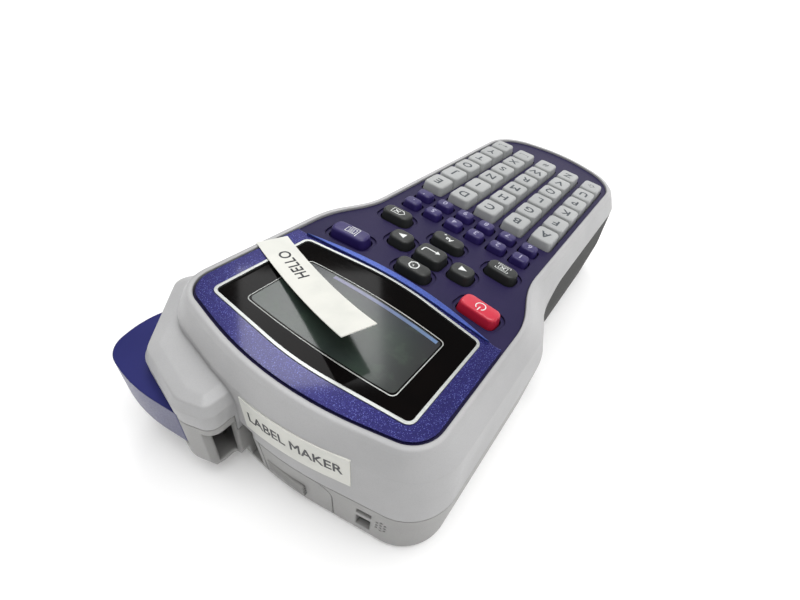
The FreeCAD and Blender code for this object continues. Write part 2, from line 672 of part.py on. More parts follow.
# ---------------------------------------------------------------------- keys
def key_cap(x, y, size, top, radius, flange, turn=0.0):
    """A tapered cap standing through the panel, with a flange held under it."""
    width, length = size
    foot = rectangle(x, y, width, length, radius)
    flange_top = PANEL_BOTTOM - FLANGE_DROP
    sections = [(foot, flange_top - 0.01), (foot, PANEL_TOP + 0.2), (inset(foot, 0.45), top - 0.9),
                (inset(foot, 0.75), top - 0.35), (inset(foot, 1.3), top)]
    cap = stack(sections)
    plate = box((x - flange[0] / 2, x + flange[0] / 2), (y - flange[1] / 2, y + flange[1] / 2),
                (flange_top - FLANGE_THICK, flange_top))
    return turned(fuse(cap, plate), (x, y), turn)


def letter_column(column):
    """Six letter keys of one column."""
    flange = (LETTER_SIZE[0] + 1.8, LETTER_SIZE[1] + 0.4)
    caps = []
    for row in range(LETTER_ROWS):
        caps.append(key_cap(letter_x(column), letter_y(row), LETTER_SIZE, LETTER_TOP, 1.6, flange))
    return Part.Compound(caps)


def number_key(row, column):
    flange = (NUMBER_SIZE[0] + 1.4, NUMBER_SIZE[1] + 1.4)
    return key_cap(number_x(column), number_y(row), NUMBER_SIZE, NUMBER_TOP, 1.6, flange)


def function_key(x, y, width, length, turn, radius):
    flange = (width + 1.2, length + 1.2)
    return key_cap(x, y, (width, length), FUNCTION_TOP, radius, flange, turn)


# --------------------------------------------------------------- electronics
def main_board():
    """Circuit board under the keymat, with three chips below it."""
    board = prism(outline(PANEL, 1.0), (BOARD_BOTTOM, BOARD_BOTTOM + BOARD_THICK))
    chips = [box(x, y, (BOARD_BOTTOM - CHIP_THICK, BOARD_BOTTOM)) for x, y in CHIPS]
    return fuse(board, *chips)


def keymat():
    """Silicone sheet between the board and the deck."""
    area = prism(outline(PANEL, 1.5), (KEYMAT_BOTTOM, DECK_BOTTOM))
    limit = box((-REACH, REACH), (-REACH, WINDOW_FAR_Y - 3.0), (0.0, REACH))
    return area.common(limit)


def buzzer():
    """Sounder disc behind the holes in the end wall, stuck to the frame's end wall."""
    wall_y = CASSETTE_CORNER[1] + CASSETTE_SIZE[1] + GAP + FRAME_WALL
    return along_y(BUZZER_PLACE[0], BUZZER_PLACE[1], BUZZER_R, (wall_y, wall_y + BUZZER_THICK))


def dc_jack():
    """Power socket behind the +X side wall, with its collar in the wall's hole."""
    half = JACK_BODY / 2
    outer_x = jack_outer_x()
    body = box((outer_x - JACK_LENGTH, outer_x), (JACK_Y - half, JACK_Y + half), (JACK_Z - half, JACK_Z + half))
    collar = along_x(JACK_Y, JACK_Z, JACK_COLLAR_R, (outer_x - 1.0, SIDE.display_half - 0.6))
    bore = along_x(JACK_Y, JACK_Z, JACK_BORE_R, (outer_x - JACK_LENGTH + 1.5, REACH))
    return fuse(body, collar).cut(bore)


def jack_outer_x():
    """x of the socket's face, just inside the side wall."""
    return SIDE.display_half - WALL - 0.2


def end_wall_holes():
    """Strap slot with its bar, and three staggered columns of sound holes."""
    span, low, high = STRAP_POCKETS
    tools = [box(span, (88.0, 110.0), low), box(span, (88.0, 110.0), high)]
    for column in range(3):
        for row in range(4 if column == 1 else 3):
            hole_x = SOUND_PLACE[0] + column * SOUND_PITCH[0]
            hole_z = SOUND_PLACE[1] + (row - (column == 1) * 0.5) * SOUND_PITCH[1]
            tools.append(along_y(hole_x, hole_z, SOUND_HOLE_R, (84.0, 104.0)))
    return tools


# ----------------------------------------------------------------- mechanism
def gear_radius(teeth):
    return MODULE * teeth / 2


def gear_blank(place, teeth, phase, z):
    """Spur gear with straight-flanked teeth; one tooth points along phase (radians)."""
    pitch_r = gear_radius(teeth)
    root_r = pitch_r - TOOTH_DROP * MODULE
    tip_r = pitch_r + TOOTH_RISE * MODULE
    step = 2 * math.pi / teeth
    points = []
    for i in range(teeth):
        angle = phase + i * step
        for share, radius in ((-0.30, root_r), (-0.10, tip_r), (0.10, tip_r), (0.30, root_r)):
            turn = angle + share * step
            points.append(Vector(*step_from(place, math.degrees(turn), radius), z[0]))
    face = Part.Face(Part.makePolygon(points + points[:1]))
    return face.extrude(Vector(0, 0, z[1] - z[0]))


def meshing_phase(place, teeth, phase, next_place, next_teeth):
    """Phase of the next gear so that its gap meets this gear's tooth."""
    direction = math.atan2(next_place[1] - place[1], next_place[0] - place[0])
    tooth = (direction - phase) * teeth / (2 * math.pi)
    return direction + math.pi - (0.5 - tooth) * 2 * math.pi / next_teeth


def step_from(place, degrees, distance):
    turn = math.radians(degrees)
    return (place[0] + distance * math.cos(turn), place[1] + distance * math.sin(turn))


REDUCTION_PLACE = step_from(FEED_PLACE, REDUCTION_TURN, gear_radius(FEED_TEETH + PINION_TEETH))
MOTOR_PLACE = step_from(REDUCTION_PLACE, MOTOR_TURN, gear_radius(REDUCTION_TEETH + PINION_TEETH))
RIBBON_PLACE = step_from(REDUCTION_PLACE, RIBBON_TURN, gear_radius(REDUCTION_TEETH + RIBBON_TEETH))
FRAME_TOP = FRAME_Z + FRAME_THICK
SHAFT_R = 1.2
MOTOR_SHAFT_R = 1.0
SPLINE_SIZE = (4.8, 1.0)
SPINDLE_FOOT = 10.0             # lower end of a spindle, inside the cassette


def reduction_gear():
    """Large gear with a small one on top of it, turning on a fixed pin."""
    large = gear_blank(REDUCTION_PLACE, REDUCTION_TEETH, 0.0, (LAYER_1, LAYER_1 + GEAR_THICK))
    hub_r = gear_radius(PINION_TEETH) - TOOTH_DROP * MODULE - 0.1
    hub = upright(REDUCTION_PLACE, hub_r, (LAYER_1, LAYER_2 + 0.1))
    small = gear_blank(REDUCTION_PLACE, PINION_TEETH, 0.0, (LAYER_2, LAYER_2 + GEAR_THICK))
    bore = upright(REDUCTION_PLACE, PIN_R + FIT, (LAYER_1 - 1.0, LAYER_2 + GEAR_THICK + 1.0))
    return fuse(large, hub, small).cut(bore)


def motor_pinion():
    phase = meshing_phase(REDUCTION_PLACE, REDUCTION_TEETH, 0.0, MOTOR_PLACE, PINION_TEETH)
    gear = gear_blank(MOTOR_PLACE, PINION_TEETH, phase, (LAYER_1, LAYER_1 + GEAR_THICK))
    return fuse(gear, upright(MOTOR_PLACE, MOTOR_SHAFT_R, (FRAME_Z - 6.0, LAYER_1 + GEAR_THICK + 0.6)))


def motor():
    """Can motor hung under the frame plate."""
    can = upright(MOTOR_PLACE, MOTOR_R, (FRAME_Z - MOTOR_LENGTH, FRAME_Z))
    cap = upright(MOTOR_PLACE, 3.0, (FRAME_Z - MOTOR_LENGTH - 1.2, FRAME_Z - MOTOR_LENGTH))
    bore = upright(MOTOR_PLACE, MOTOR_SHAFT_R + FIT, (FRAME_Z - 6.5, FRAME_Z + 1.0))
    return fuse(can, cap).cut(bore)


def drive_spindle(place, teeth, z, phase, foot):
    """Gear on a shaft that goes down through the frame into the cassette."""
    gear = gear_blank(place, teeth, phase, z)
    shaft = upright(place, SHAFT_R, (foot, z[1]))
    half_width, half_thick = SPLINE_SIZE[0] / 2, SPLINE_SIZE[1] / 2
    spline = box((place[0] - half_width, place[0] + half_width), (place[1] - half_thick, place[1] + half_thick),
                 (foot, FRAME_Z - 1.0))
    return fuse(gear, shaft, *[turned(spline, place, 60.0 * i) for i in range(3)])


def feed_spindle():
    phase = meshing_phase(REDUCTION_PLACE, PINION_TEETH, 0.0, FEED_PLACE, FEED_TEETH)
    return drive_spindle(FEED_PLACE, FEED_TEETH, (LAYER_2, LAYER_2 + GEAR_THICK), phase, SPINDLE_FOOT)


def ribbon_spindle():
    phase = meshing_phase(REDUCTION_PLACE, REDUCTION_TEETH, 0.0, RIBBON_PLACE, RIBBON_TEETH)
    return drive_spindle(RIBBON_PLACE, RIBBON_TEETH, (LAYER_1, LAYER_1 + GEAR_THICK), phase, SPINDLE_FOOT)


def mechanism_frame():
    """Plate over the cassette with walls round it, posts to the board and an outer flange."""
    x0, y0 = CASSETTE_CORNER
    x1, y1 = x0 + CASSETTE_SIZE[0], y0 + CASSETTE_SIZE[1]
    plate = prism(FRAME_CORNERS, (FRAME_Z, FRAME_TOP))
    low = WALL
    walls = [box((x0 - GAP - FRAME_WALL, x0 - GAP), (y0 - GAP - FRAME_WALL, y1), (low, FRAME_Z)),
             box((x0 - GAP - FRAME_WALL, x1), (y0 - GAP - FRAME_WALL, y0 - GAP), (low, FRAME_Z)),
             box((x0 + 4.0, x1 - 6.0), (y1 + GAP, y1 + GAP + FRAME_WALL), (low + 1.0, FRAME_Z))]
    pillars = posts(FRAME_POSTS, FRAME_POST_R, (FRAME_TOP - 0.1, BOARD_BOTTOM))
    body = fuse(plate, *walls, *pillars)
    holes = [upright(FEED_PLACE, SHAFT_R + FIT, (FRAME_Z - 1.0, FRAME_TOP + 1.0)),
             upright(RIBBON_PLACE, SHAFT_R + FIT, (FRAME_Z - 1.0, FRAME_TOP + 1.0)),
             upright(MOTOR_PLACE, MOTOR_SHAFT_R + 0.5, (FRAME_Z - 1.0, FRAME_TOP + 1.0)),
             upright(REDUCTION_PLACE, PIN_R, (FRAME_Z - 1.0, FRAME_TOP + 1.0)),
             upright(HOLDER_PIVOT, PIN_R, (FRAME_Z - 1.0, FRAME_TOP + 1.0))]
    return body.cut(holes)


def pivot_pins():
    """Three steel pins: reduction gear, roller holder and cutter lever."""
    gear_pin = upright(REDUCTION_PLACE, PIN_R, (FRAME_Z, LAYER_2 + GEAR_THICK + 0.8))
    holder_pin = upright(HOLDER_PIVOT, PIN_R, (HOLDER_BOTTOM - 1.0, FRAME_TOP))
    lever_pin = upright(LEVER_PIVOT, PIN_R, (HOUSING_BOTTOM + WALL, HOUSING_TOP - WALL))
    return Part.Compound([gear_pin, holder_pin, lever_pin])


def print_head():
    """Thermal head on its heat sink, standing in the cassette's head pocket."""
    sink = box((TAPE_X - 4.6, TAPE_X - 1.4), (PLATEN_Y - 6.0, PLATEN_Y + 6.0), (5.0, FRAME_Z))
    head = box((TAPE_X - 1.4, TAPE_X - 0.4), (PLATEN_Y - 4.0, PLATEN_Y + 4.0), (6.0, FRAME_Z - 2.0))
    return fuse(sink, head)


def platen_place():
    return (TAPE_X + TAPE_THICK / 2 + 0.1 + PLATEN_R, PLATEN_Y)


def roller_holder():
    """Swinging arm with an ear above and below the platen roller."""
    place = platen_place()
    back_x = place[0] + PLATEN_R + 0.5
    top = FRAME_Z - 0.4
    back = box((back_x, back_x + HOLDER_THICK), (HOLDER_PIVOT[1], place[1] + 6.0), (HOLDER_BOTTOM, top))
    knuckle = upright(HOLDER_PIVOT, PIN_R + 1.6, (HOLDER_BOTTOM, top))
    ears = []
    for low in (HOLDER_BOTTOM, top - HOLDER_THICK):
        ear = box((place[0] - 2.6, back_x + 0.5), (place[1] - 3.0, place[1] + 3.0), (low, low + HOLDER_THICK))
        ears.append(ear)
    through = (0.0, FRAME_Z)
    bores = [upright(HOLDER_PIVOT, PIN_R + FIT, through), upright(place, SHAFT_R + FIT, through)]
    return fuse(back, knuckle, *ears).cut(bores)


def platen_roller():
    """Rubber roller on a steel shaft."""
    place = platen_place()
    top = FRAME_Z - 0.4
    sleeve = upright(place, PLATEN_R, (HOLDER_BOTTOM + HOLDER_THICK + 0.4, top - HOLDER_THICK - 0.4))
    return fuse(sleeve, upright(place, SHAFT_R, (HOLDER_BOTTOM, top)))


def tape_cassette():
    """Cassette box with a head pocket, two spindle holes and its tape along the side."""
    x0, y0 = CASSETTE_CORNER
    width, length, height = CASSETTE_SIZE
    z = (FRAME_Z - 0.4 - height, FRAME_Z - 0.4)
    case = prism(rectangle(x0 + width / 2, y0 + length / 2, width, length, 5.0), z)
    pocket = box((TAPE_X - 5.2, TAPE_X + 1.0), (PLATEN_Y - 6.8, PLATEN_Y + 6.8), (z[0] - 1.0, z[1] + 1.0))
    holes = [upright(place, 3.2, (z[0] - 1.0, z[1] + 1.0)) for place in (FEED_PLACE, RIBBON_PLACE)]
    tape_z = (z[0] + 2.5, z[0] + 2.5 + TAPE_WIDTH)
    tape_end = BLADE_Y - BLADE_THICK / 2 - 1.1
    tape = box((TAPE_X - TAPE_THICK / 2, TAPE_X + TAPE_THICK / 2), (y0 + 10.0, tape_end), tape_z)
    guide = box((x0 + width - 2.0, TAPE_X - TAPE_THICK / 2), (y0 + 10.0, y0 + 16.0), tape_z)
    return fuse(case.cut([pocket] + holes), tape, guide)


# -------------------------------------------------------------------- cutter
def cutter_lever():
    """Lever with a skirt, a boss on the pivot pin and an arm with a round pad."""
    z = (LEVER_TOP - LEVER_HEIGHT, LEVER_TOP)
    body = prism(LEVER_CORNERS, z)
    skirt = LEVER_CORNERS[:5] + [(5.0, 100.0, 0.0), (10.0, 70.0, 0.0), (49.9, 70.0, 0.0)]
    pocket = prism(inset(skirt, LEVER_SKIN), (z[0] - 1.0, z[1] - LEVER_SKIN))
    boss = upright(LEVER_PIVOT, PIN_R + 1.8, (z[0] + 3.5, z[1] - LEVER_SKIN + 0.1))
    pivot_x, pivot_y = LEVER_PIVOT
    pad_y = pivot_y - LEVER_ARM
    arm_z = (z[0] + 3.5, z[0] + 7.5)
    arm = box((pivot_x - LEVER_PAD_R, pivot_x + LEVER_PAD_R), (pad_y, pivot_y), arm_z)
    pad = upright((pivot_x, pad_y), LEVER_PAD_R, arm_z)
    bore = upright(LEVER_PIVOT, PIN_R + FIT, (0.0, REACH))
    return fuse(body.cut(pocket), boss, arm, pad).cut(bore)


def lever_spring():
    """Coil of the torsion spring round the pivot pin, as four closed turns."""
    wire_r = 0.35
    turns = []
    for i in range(4):
        z = LEVER_TOP - LEVER_HEIGHT + 0.5 + 0.72 * i
        turns.append(Part.makeTorus(PIN_R + wire_r + 0.1, wire_r, Vector(LEVER_PIVOT[0], LEVER_PIVOT[1], z)))
    return Part.Compound(turns)


def cutter_blade():
    """Blade in its sliding carrier."""
    carrier_face = LEVER_PIVOT[0] - LEVER_PAD_R - 0.2
    z = (HOUSING_BOTTOM + WALL + GAP, FRAME_Z - GAP)
    edge = TAPE_X + BLADE_REST
    pad_y = LEVER_PIVOT[1] - LEVER_ARM
    front = box((edge + 2.6, carrier_face), (BLADE_Y, BLADE_Y + 3.4), z)
    arm = box((carrier_face - 2.6, carrier_face), (pad_y - 1.8, BLADE_Y + 3.4), z)
    blade = box((edge, edge + 4.0), (BLADE_Y, BLADE_Y + BLADE_THICK), z)
    return fuse(front, arm, blade)


def fixed_blade():
    """Counter blade on the other side of the tape, just behind the moving blade."""
    y = (BLADE_Y - 0.1 - BLADE_THICK, BLADE_Y - 0.1)
    z = (SLOT_BOTTOM + 0.5, FRAME_Z)
    edge = TAPE_X - 0.4
    return box((edge - 6.0, edge), y, z)


# ------------------------------------------------------------------ power
def tray_size():
    width = CELL_PITCH * (CELL_COUNT - 1) + 2 * CELL_R + 2 * GAP + 2 * TRAY_WALL
    length = CELL_LENGTH + 2 * CONTACT_ROOM + 2 * TRAY_WALL
    return width, length


CELL_Z = WALL + 0.6 + CELL_R


def cell_x(i):
    return CELL_PITCH * (i - (CELL_COUNT - 1) / 2)


def battery_tray():
    """Tray open towards the cover, with a flange resting on the grip's edge."""
    width, length = tray_size()
    top = CELL_Z + CELL_R + 0.6 + TRAY_WALL
    outer = prism(rectangle(0.0, TRAY_Y, width, length, 2.0), (WALL + 0.05, top))
    inside = rectangle(0.0, TRAY_Y, width - 2 * TRAY_WALL, length - 2 * TRAY_WALL, 1.0)
    inner = prism(inside, (0.0, top - TRAY_WALL))
    return outer.cut(inner)


def batteries():
    cells = []
    start = TRAY_Y - CELL_LENGTH / 2
    for i in range(CELL_COUNT):
        can = along_y(cell_x(i), CELL_Z, CELL_R, (start, start + CELL_LENGTH - 0.8))
        nub = along_y(cell_x(i), CELL_Z, 1.9, (start + CELL_LENGTH - 0.9, start + CELL_LENGTH))
        cell = fuse(can, nub)
        if i % 2 == 0:
            cell.rotate(Vector(cell_x(i), TRAY_Y, CELL_Z), Vector(0, 0, 1), 180)
        cells.append(cell)
    return Part.Compound(cells)


def battery_contacts():
    """Sheet contact at both ends of every cell."""
    width, length = tray_size()
    plates = []
    for i in range(CELL_COUNT):
        for end in (-1, 1):
            wall_y = TRAY_Y + end * (length / 2 - TRAY_WALL)
            cell_y = TRAY_Y + end * (CELL_LENGTH / 2 + 0.15)
            y = (min(wall_y, cell_y), max(wall_y, cell_y))
            low, high = (y[1] - 0.5, y[1]) if end > 0 else (y[0], y[0] + 0.5)
            plate = box((cell_x(i) - 3.6, cell_x(i) + 3.6), (low, high), (CELL_Z - 4.0, CELL_Z + 4.0))
            spring = along_y(cell_x(i), CELL_Z, 2.0, y)
            plates.append(fuse(plate, spring))
    return Part.Compound(plates)


def case_screws():
    """Six pan-head screws holding the shells together, hidden under the cover."""
    screws = []
    for place in screw_places():
        head = upright(place, SCREW_HEAD_R, (0.4, SCREW_HEAD_TOP))
        shank = upright(place, SCREW_R, (SCREW_HEAD_TOP - 0.1, SCREW_TOP - 1.0))
        screws.append(fuse(head, shank))
    return Part.Compound(screws)


# -------------------------------------------------------------------- labels
def title_label():
    """Printed label stuck on the display end wall; it follows the wall."""
    x, z = TITLE_LABEL_PLACE
    width, height = TITLE_LABEL
    sheet = body_solid(-STRIP_THICK).cut(body_solid(0.0))
    window = box((x - width / 2, x + width / 2), (80.0, 120.0), (z - height / 2, z + height / 2))
    window.rotate(Vector(x, 0, z), Vector(0, 1, 0), TITLE_LABEL_TILT)
    return sheet.common(window)


def printed_strip():
    """Loose printed strip lying across the display corner, its free end curled up."""
    length, width = STRIP_SIZE
    sweep = length / STRIP_CURL_R
    inner, outer = [], []
    for share in (0.0, 0.5, 1.0):
        direction = Vector(math.sin(sweep * share), 0, -math.cos(sweep * share))
        centre = Vector(0, -width / 2, STRIP_CURL_R)
        inner.append(centre + direction * (STRIP_CURL_R - STRIP_THICK))
        outer.append(centre + direction * STRIP_CURL_R)
    edges = [Part.Arc(*inner).toShape(), Part.LineSegment(inner[2], outer[2]).toShape(),
             Part.Arc(*outer).toShape(), Part.LineSegment(outer[0], inner[0]).toShape()]
    face = Part.Face(Part.Wire(Part.__sortEdges__(edges)))
    strip = turned(face.extrude(Vector(0, width, 0)), (0.0, 0.0), STRIP_TURN)
    return moved(strip, STRIP_START[0], STRIP_START[1], PANEL_TOP + STRIP_LIFT)


# ----------------------------------------------------------------- write out
def main():
    os.makedirs("parts", exist_ok=True)
    upper, lower, grip, cover = case_shells()
    write("upper_case", upper_case(upper))
    write("lower_case", lower_case(lower))
    write("grip_shell", grip)
    write("back_cover", back_cover(cover))
    for build in (keypad_panel, display_bezel, display_trim, display_window, lcd_module, main_board, keymat,
                  buzzer, dc_jack, reduction_gear, motor_pinion, motor, feed_spindle, ribbon_spindle,
                  mechanism_frame, pivot_pins, print_head, roller_holder, platen_roller, tape_cassette,
                  cutter_lever, lever_spring, cutter_blade, fixed_blade, battery_tray, batteries,
                  battery_contacts, case_screws, title_label, printed_strip):
        write(build.__name__, build())
    for name, sizes in FUNCTION_KEYS.items():
        write(name, function_key(*sizes))
    for row in range(NUMBER_ROWS):
        for column in range(NUMBER_COLUMNS):
            write("number_key_%d" % (row * NUMBER_COLUMNS + column + 1), number_key(row, column))
    for column in range(LETTER_COLUMNS):
        write("letter_keys_%d" % (column + 1), letter_column(column))


main()
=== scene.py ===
"""Looks of the handheld label printer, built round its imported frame. Sizes below are in millimetres."""
import bmesh
import bpy
import json
import math
from mathutils import Matrix, Vector
from mathutils.bvhtree import BVHTree


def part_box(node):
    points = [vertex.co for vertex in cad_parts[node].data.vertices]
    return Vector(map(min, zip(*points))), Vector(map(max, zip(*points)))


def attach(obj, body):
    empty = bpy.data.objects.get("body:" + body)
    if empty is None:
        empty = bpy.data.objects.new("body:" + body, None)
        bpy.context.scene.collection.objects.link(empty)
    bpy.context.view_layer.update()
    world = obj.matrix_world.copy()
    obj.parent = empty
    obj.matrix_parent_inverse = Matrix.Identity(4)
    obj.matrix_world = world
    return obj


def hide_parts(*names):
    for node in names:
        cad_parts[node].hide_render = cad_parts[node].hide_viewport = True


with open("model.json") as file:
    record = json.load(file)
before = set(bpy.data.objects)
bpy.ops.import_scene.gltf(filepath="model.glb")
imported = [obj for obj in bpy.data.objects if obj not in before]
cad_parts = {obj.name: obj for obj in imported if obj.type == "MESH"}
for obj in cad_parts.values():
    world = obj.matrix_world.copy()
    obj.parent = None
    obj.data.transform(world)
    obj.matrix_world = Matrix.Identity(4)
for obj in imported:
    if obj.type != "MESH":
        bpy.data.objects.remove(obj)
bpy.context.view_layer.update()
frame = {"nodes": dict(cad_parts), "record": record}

MM = 0.001
NODES = frame["nodes"]
INK_RISE = 0.03                 # thickness of printed ink


def height_of(node):
    """Height of a node's highest point, in millimetres."""
    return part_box(node)[1].z / MM


def middle_of(node):
    """Middle of a node's box in plan, in millimetres."""
    low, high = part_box(node)
    return (low.x + high.x) / 2 / MM, (low.y + high.y) / 2 / MM


# ------------------------------------------------------------ shader building
class Wire:
    """A shader socket that takes part in Python sums and products."""

    def __init__(self, tree, socket):
        self.tree = tree
        self.socket = socket

    def _math(self, operation, first, second=None):
        node = self.tree.new("ShaderNodeMath", operation=operation)
        for i, value in enumerate((first, second)):
            if value is not None:
                self.tree.feed(node.inputs[i], value)
        return Wire(self.tree, node.outputs[0])

    def __add__(self, other):
        return self._math("ADD", self, other)

    def __radd__(self, other):
        return self._math("ADD", other, self)

    def __sub__(self, other):
        return self._math("SUBTRACT", self, other)

    def __rsub__(self, other):
        return self._math("SUBTRACT", other, self)

    def __mul__(self, other):
        return self._math("MULTIPLY", self, other)

    def __rmul__(self, other):
        return self._math("MULTIPLY", other, self)

    def __truediv__(self, other):
        return self._math("DIVIDE", self, other)

    def __gt__(self, other):
        return self._math("GREATER_THAN", self, other)

    def absolute(self):
        return self._math("ABSOLUTE", self)

    def repeat(self, period):
        """Distance along the repeat, from 0 to 1."""
        return self._math("FRACT", self / period)

    def step(self, low, high):
        """0 below low, 1 above high, smooth between."""
        node = self.tree.new("ShaderNodeMapRange", interpolation_type="SMOOTHSTEP")
        self.tree.feed(node.inputs["Value"], self)
        node.inputs["From Min"].default_value = low
        node.inputs["From Max"].default_value = high
        return Wire(self.tree, node.outputs["Result"])

    def band(self, low, high, edge):
        """1 between low and high, 0 outside, with soft edges."""
        return self.step(low - edge, low + edge) * (1 - self.step(high - edge, high + edge))


class Finish:
    """One material being put together on a Principled shader."""

    def __init__(self, name, **constants):
        self.material = bpy.data.materials.new(name)
        self.material.use_nodes = True
        self.nodes = self.material.node_tree.nodes
        self.links = self.material.node_tree.links
        self.shader = self.nodes["Principled BSDF"]
        for socket, value in constants.items():
            self.shader.inputs[socket.replace("_", " ").title().replace("Ior", "IOR")].default_value = value
        self._place = None

    def new(self, kind, **settings):
        node = self.nodes.new(kind)
        for key, value in settings.items():
            setattr(node, key, value)
        return node

    def feed(self, socket, value):
        if isinstance(value, Wire):
            self.links.new(value.socket, socket)
        elif isinstance(value, tuple) and len(value) == 3 and socket.type == "RGBA":
            socket.default_value = (*value, 1.0)
        else:
            socket.default_value = value

    def node(self, kind, output=0, settings=None, **inputs):
        """Any node, with its settings and its inputs."""
        made = self.new(kind, **(settings or {}))
        for name, value in inputs.items():
            self.feed(made.inputs[name.replace("_", " ")], value)
        return Wire(self, made.outputs[output])

    def place(self):
        """Object coordinates, in metres."""
        if self._place is None:
            self._place = self.node("ShaderNodeTexCoord", output="Object")
        return self._place

    def axis(self, letter):
        """One object coordinate in millimetres."""
        split = self.node("ShaderNodeSeparateXYZ", output=letter, Vector=self.place())
        return split * 1000.0

    def stretched(self, scale, turn=(0.0, 0.0, 0.0)):
        """Object coordinates through a Mapping node."""
        return self.node("ShaderNodeMapping", Vector=self.place(), Scale=scale, Rotation=turn)

    def noise(self, size, detail=3.0, rough=0.5):
        """Cloudy noise with features of about size millimetres."""
        return self.node("ShaderNodeTexNoise", Vector=self.place(), Scale=1000.0 / size, Detail=detail,
                         Roughness=rough)

    def cells(self, size):
        """Distance to the middle of the nearest cell; cells are about size millimetres."""
        return self.node("ShaderNodeTexVoronoi", output="Distance", Vector=self.place(), Scale=1000.0 / size)

    def mix(self, share, first, second):
        """Blend of two colours."""
        made = self.new("ShaderNodeMix", data_type="RGBA")
        self.feed(made.inputs[0], share)
        self.feed(made.inputs[6], first)
        self.feed(made.inputs[7], second)
        return Wire(self, made.outputs[2])

    def bump(self, height, strength, distance=0.05, below=None):
        made = self.new("ShaderNodeBump")
        made.inputs["Strength"].default_value = strength
        made.inputs["Distance"].default_value = distance * MM
        self.feed(made.inputs["Height"], height)
        if below is not None:
            self.feed(made.inputs["Normal"], below)
        return Wire(self, made.outputs["Normal"])

    def rounded(self, radius):
        """Normals that soften edges as a moulded radius does."""
        made = self.new("ShaderNodeBevel", samples=6)
        made.inputs["Radius"].default_value = radius * MM
        return Wire(self, made.outputs[0])

    def occlusion_shade(self, reach):
        """Ambient occlusion, for painted shade: 1 in the open, less in corners and gaps."""
        made = self.new("ShaderNodeAmbientOcclusion", samples=6)
        made.inputs["Distance"].default_value = reach * MM
        return Wire(self, made.outputs["AO"])

    def done(self, **links):
        for name, value in links.items():
            self.feed(self.shader.inputs[name.replace("_", " ")], value)
        return self.material


def moulded(name, colour, shade, roughness, grain=0.35, relief=0.35, edge=0.5, corner_shade=0.0, coat=0.0,
            shine=0.5):
    """Moulded plastic: slight colour drift, spark-eroded grain, soft edges, painted shade in the corners."""
    f = Finish(name, coat_weight=coat, coat_roughness=0.25, specular_ior_level=shine)
    drift = f.noise(26.0, 3.0)
    fine = f.noise(grain, 4.0, 0.6)
    tone = f.mix(drift.step(0.35, 0.68), colour, shade)
    tone = f.mix(fine.step(0.42, 0.78) * 0.22, tone, tuple(c * 0.72 for c in shade))
    # Painted shade: darker in corners, gaps and recesses, from ambient occlusion.
    if corner_shade:
        open_share = f.occlusion_shade(2.6)
        tone = f.mix((1 - open_share).step(0.25, 0.95) * corner_shade, tone, tuple(c * 0.35 for c in shade))
    rough = fine.step(0.2, 0.8) * 0.12 + drift * 0.08 + (roughness - 0.1)
    normal = f.bump(fine, relief, 0.03, f.rounded(edge))
    return f.done(Base_Color=tone, Roughness=rough, Normal=normal)


def flake_lacquer(name, deep, bright, glint, size, roughness, ridge_z, ridge_highlight):
    """Metallic flake paint under a clear coat, with painted glints on a few flakes and a painted highlight
    above ridge_z.
    """
    f = Finish(name, metallic=0.55, coat_weight=0.5, coat_roughness=0.08)
    cells = f.node("ShaderNodeTexVoronoi", output="Color", Vector=f.place(), Scale=1000.0 / size)
    pick = f.node("ShaderNodeSeparateXYZ", output="X", Vector=cells)
    drift = f.noise(9.0, 2.0)
    tone = f.mix(pick.step(0.1, 0.9), deep, bright)
    # Painted glints: a few flakes set to a bright colour.
    tone = f.mix((pick > 0.94) * 0.6, tone, glint)
    tone = f.mix(drift.step(0.35, 0.7) * 0.3, tone, deep)
    # Painted highlight: the raised ridge is lighter above ridge_z.
    tone = f.mix(f.axis("Z").step(ridge_z, ridge_z + 0.3) * (pick * 0.4 + 0.5), tone, ridge_highlight)
    normal = f.bump(pick, 0.15, 0.02, f.rounded(0.35))
    return f.done(Base_Color=tone, Roughness=roughness + pick * 0.12, Normal=normal)


def brushed(name, colour, roughness, along="Y", dark=0.6):
    """Metal with fine grinding lines along one axis."""
    f = Finish(name, metallic=1.0)
    scale = {"X": (60.0, 4000.0, 4000.0), "Y": (4000.0, 60.0, 4000.0), "Z": (4000.0, 4000.0, 60.0)}[along]
    lines = f.node("ShaderNodeTexNoise", Vector=f.stretched(scale), Scale=1.0, Detail=3.0)
    stain = f.noise(4.0, 4.0)
    tone = f.mix(lines.step(0.35, 0.7), tuple(c * dark for c in colour), colour)
    tone = f.mix(stain.step(0.55, 0.8) * 0.3, tone, tuple(c * 0.7 for c in colour))
    normal = f.bump(lines, 0.25, 0.02, f.rounded(0.15))
    return f.done(Base_Color=tone, Roughness=lines * 0.15 + roughness, Normal=normal)


def ink(name, colour, roughness=0.45, wear=0.12):
    """Printed ink, a little uneven and thinned in specks."""
    f = Finish(name)
    speck = f.noise(0.3, 3.0)
    tone = f.mix(speck.step(0.55, 0.85) * wear, colour, tuple(c * 0.45 for c in colour))
    return f.done(Base_Color=tone, Roughness=speck * 0.15 + roughness, Normal=f.bump(speck, 0.15, 0.01))


def rubber(name, colour, shade):
    """Soft-touch rubber with a pebbled skin and painted shade in its corners."""
    f = Finish(name, specular_ior_level=0.35)
    pebble = f.cells(0.55)
    fine = f.noise(0.25, 4.0)
    cloud = f.noise(18.0, 3.0)
    unoccluded = f.occlusion_shade(3.0)
    tone = f.mix(cloud.step(0.35, 0.7), colour, shade)
    tone = f.mix(pebble.step(0.1, 0.55) * 0.3, tone, tuple(c * 1.5 for c in colour))
    # Painted shade: darker in corners and gaps, from ambient occlusion.
    tone = f.mix((1 - unoccluded).step(0.3, 0.95) * 0.4, tone, tuple(c * 0.4 for c in colour))
    normal = f.bump(pebble * 0.8 + fine * 0.4, 0.5, 0.06, f.rounded(0.6))
    return f.done(Base_Color=tone, Roughness=fine * 0.15 + 0.62, Normal=normal)


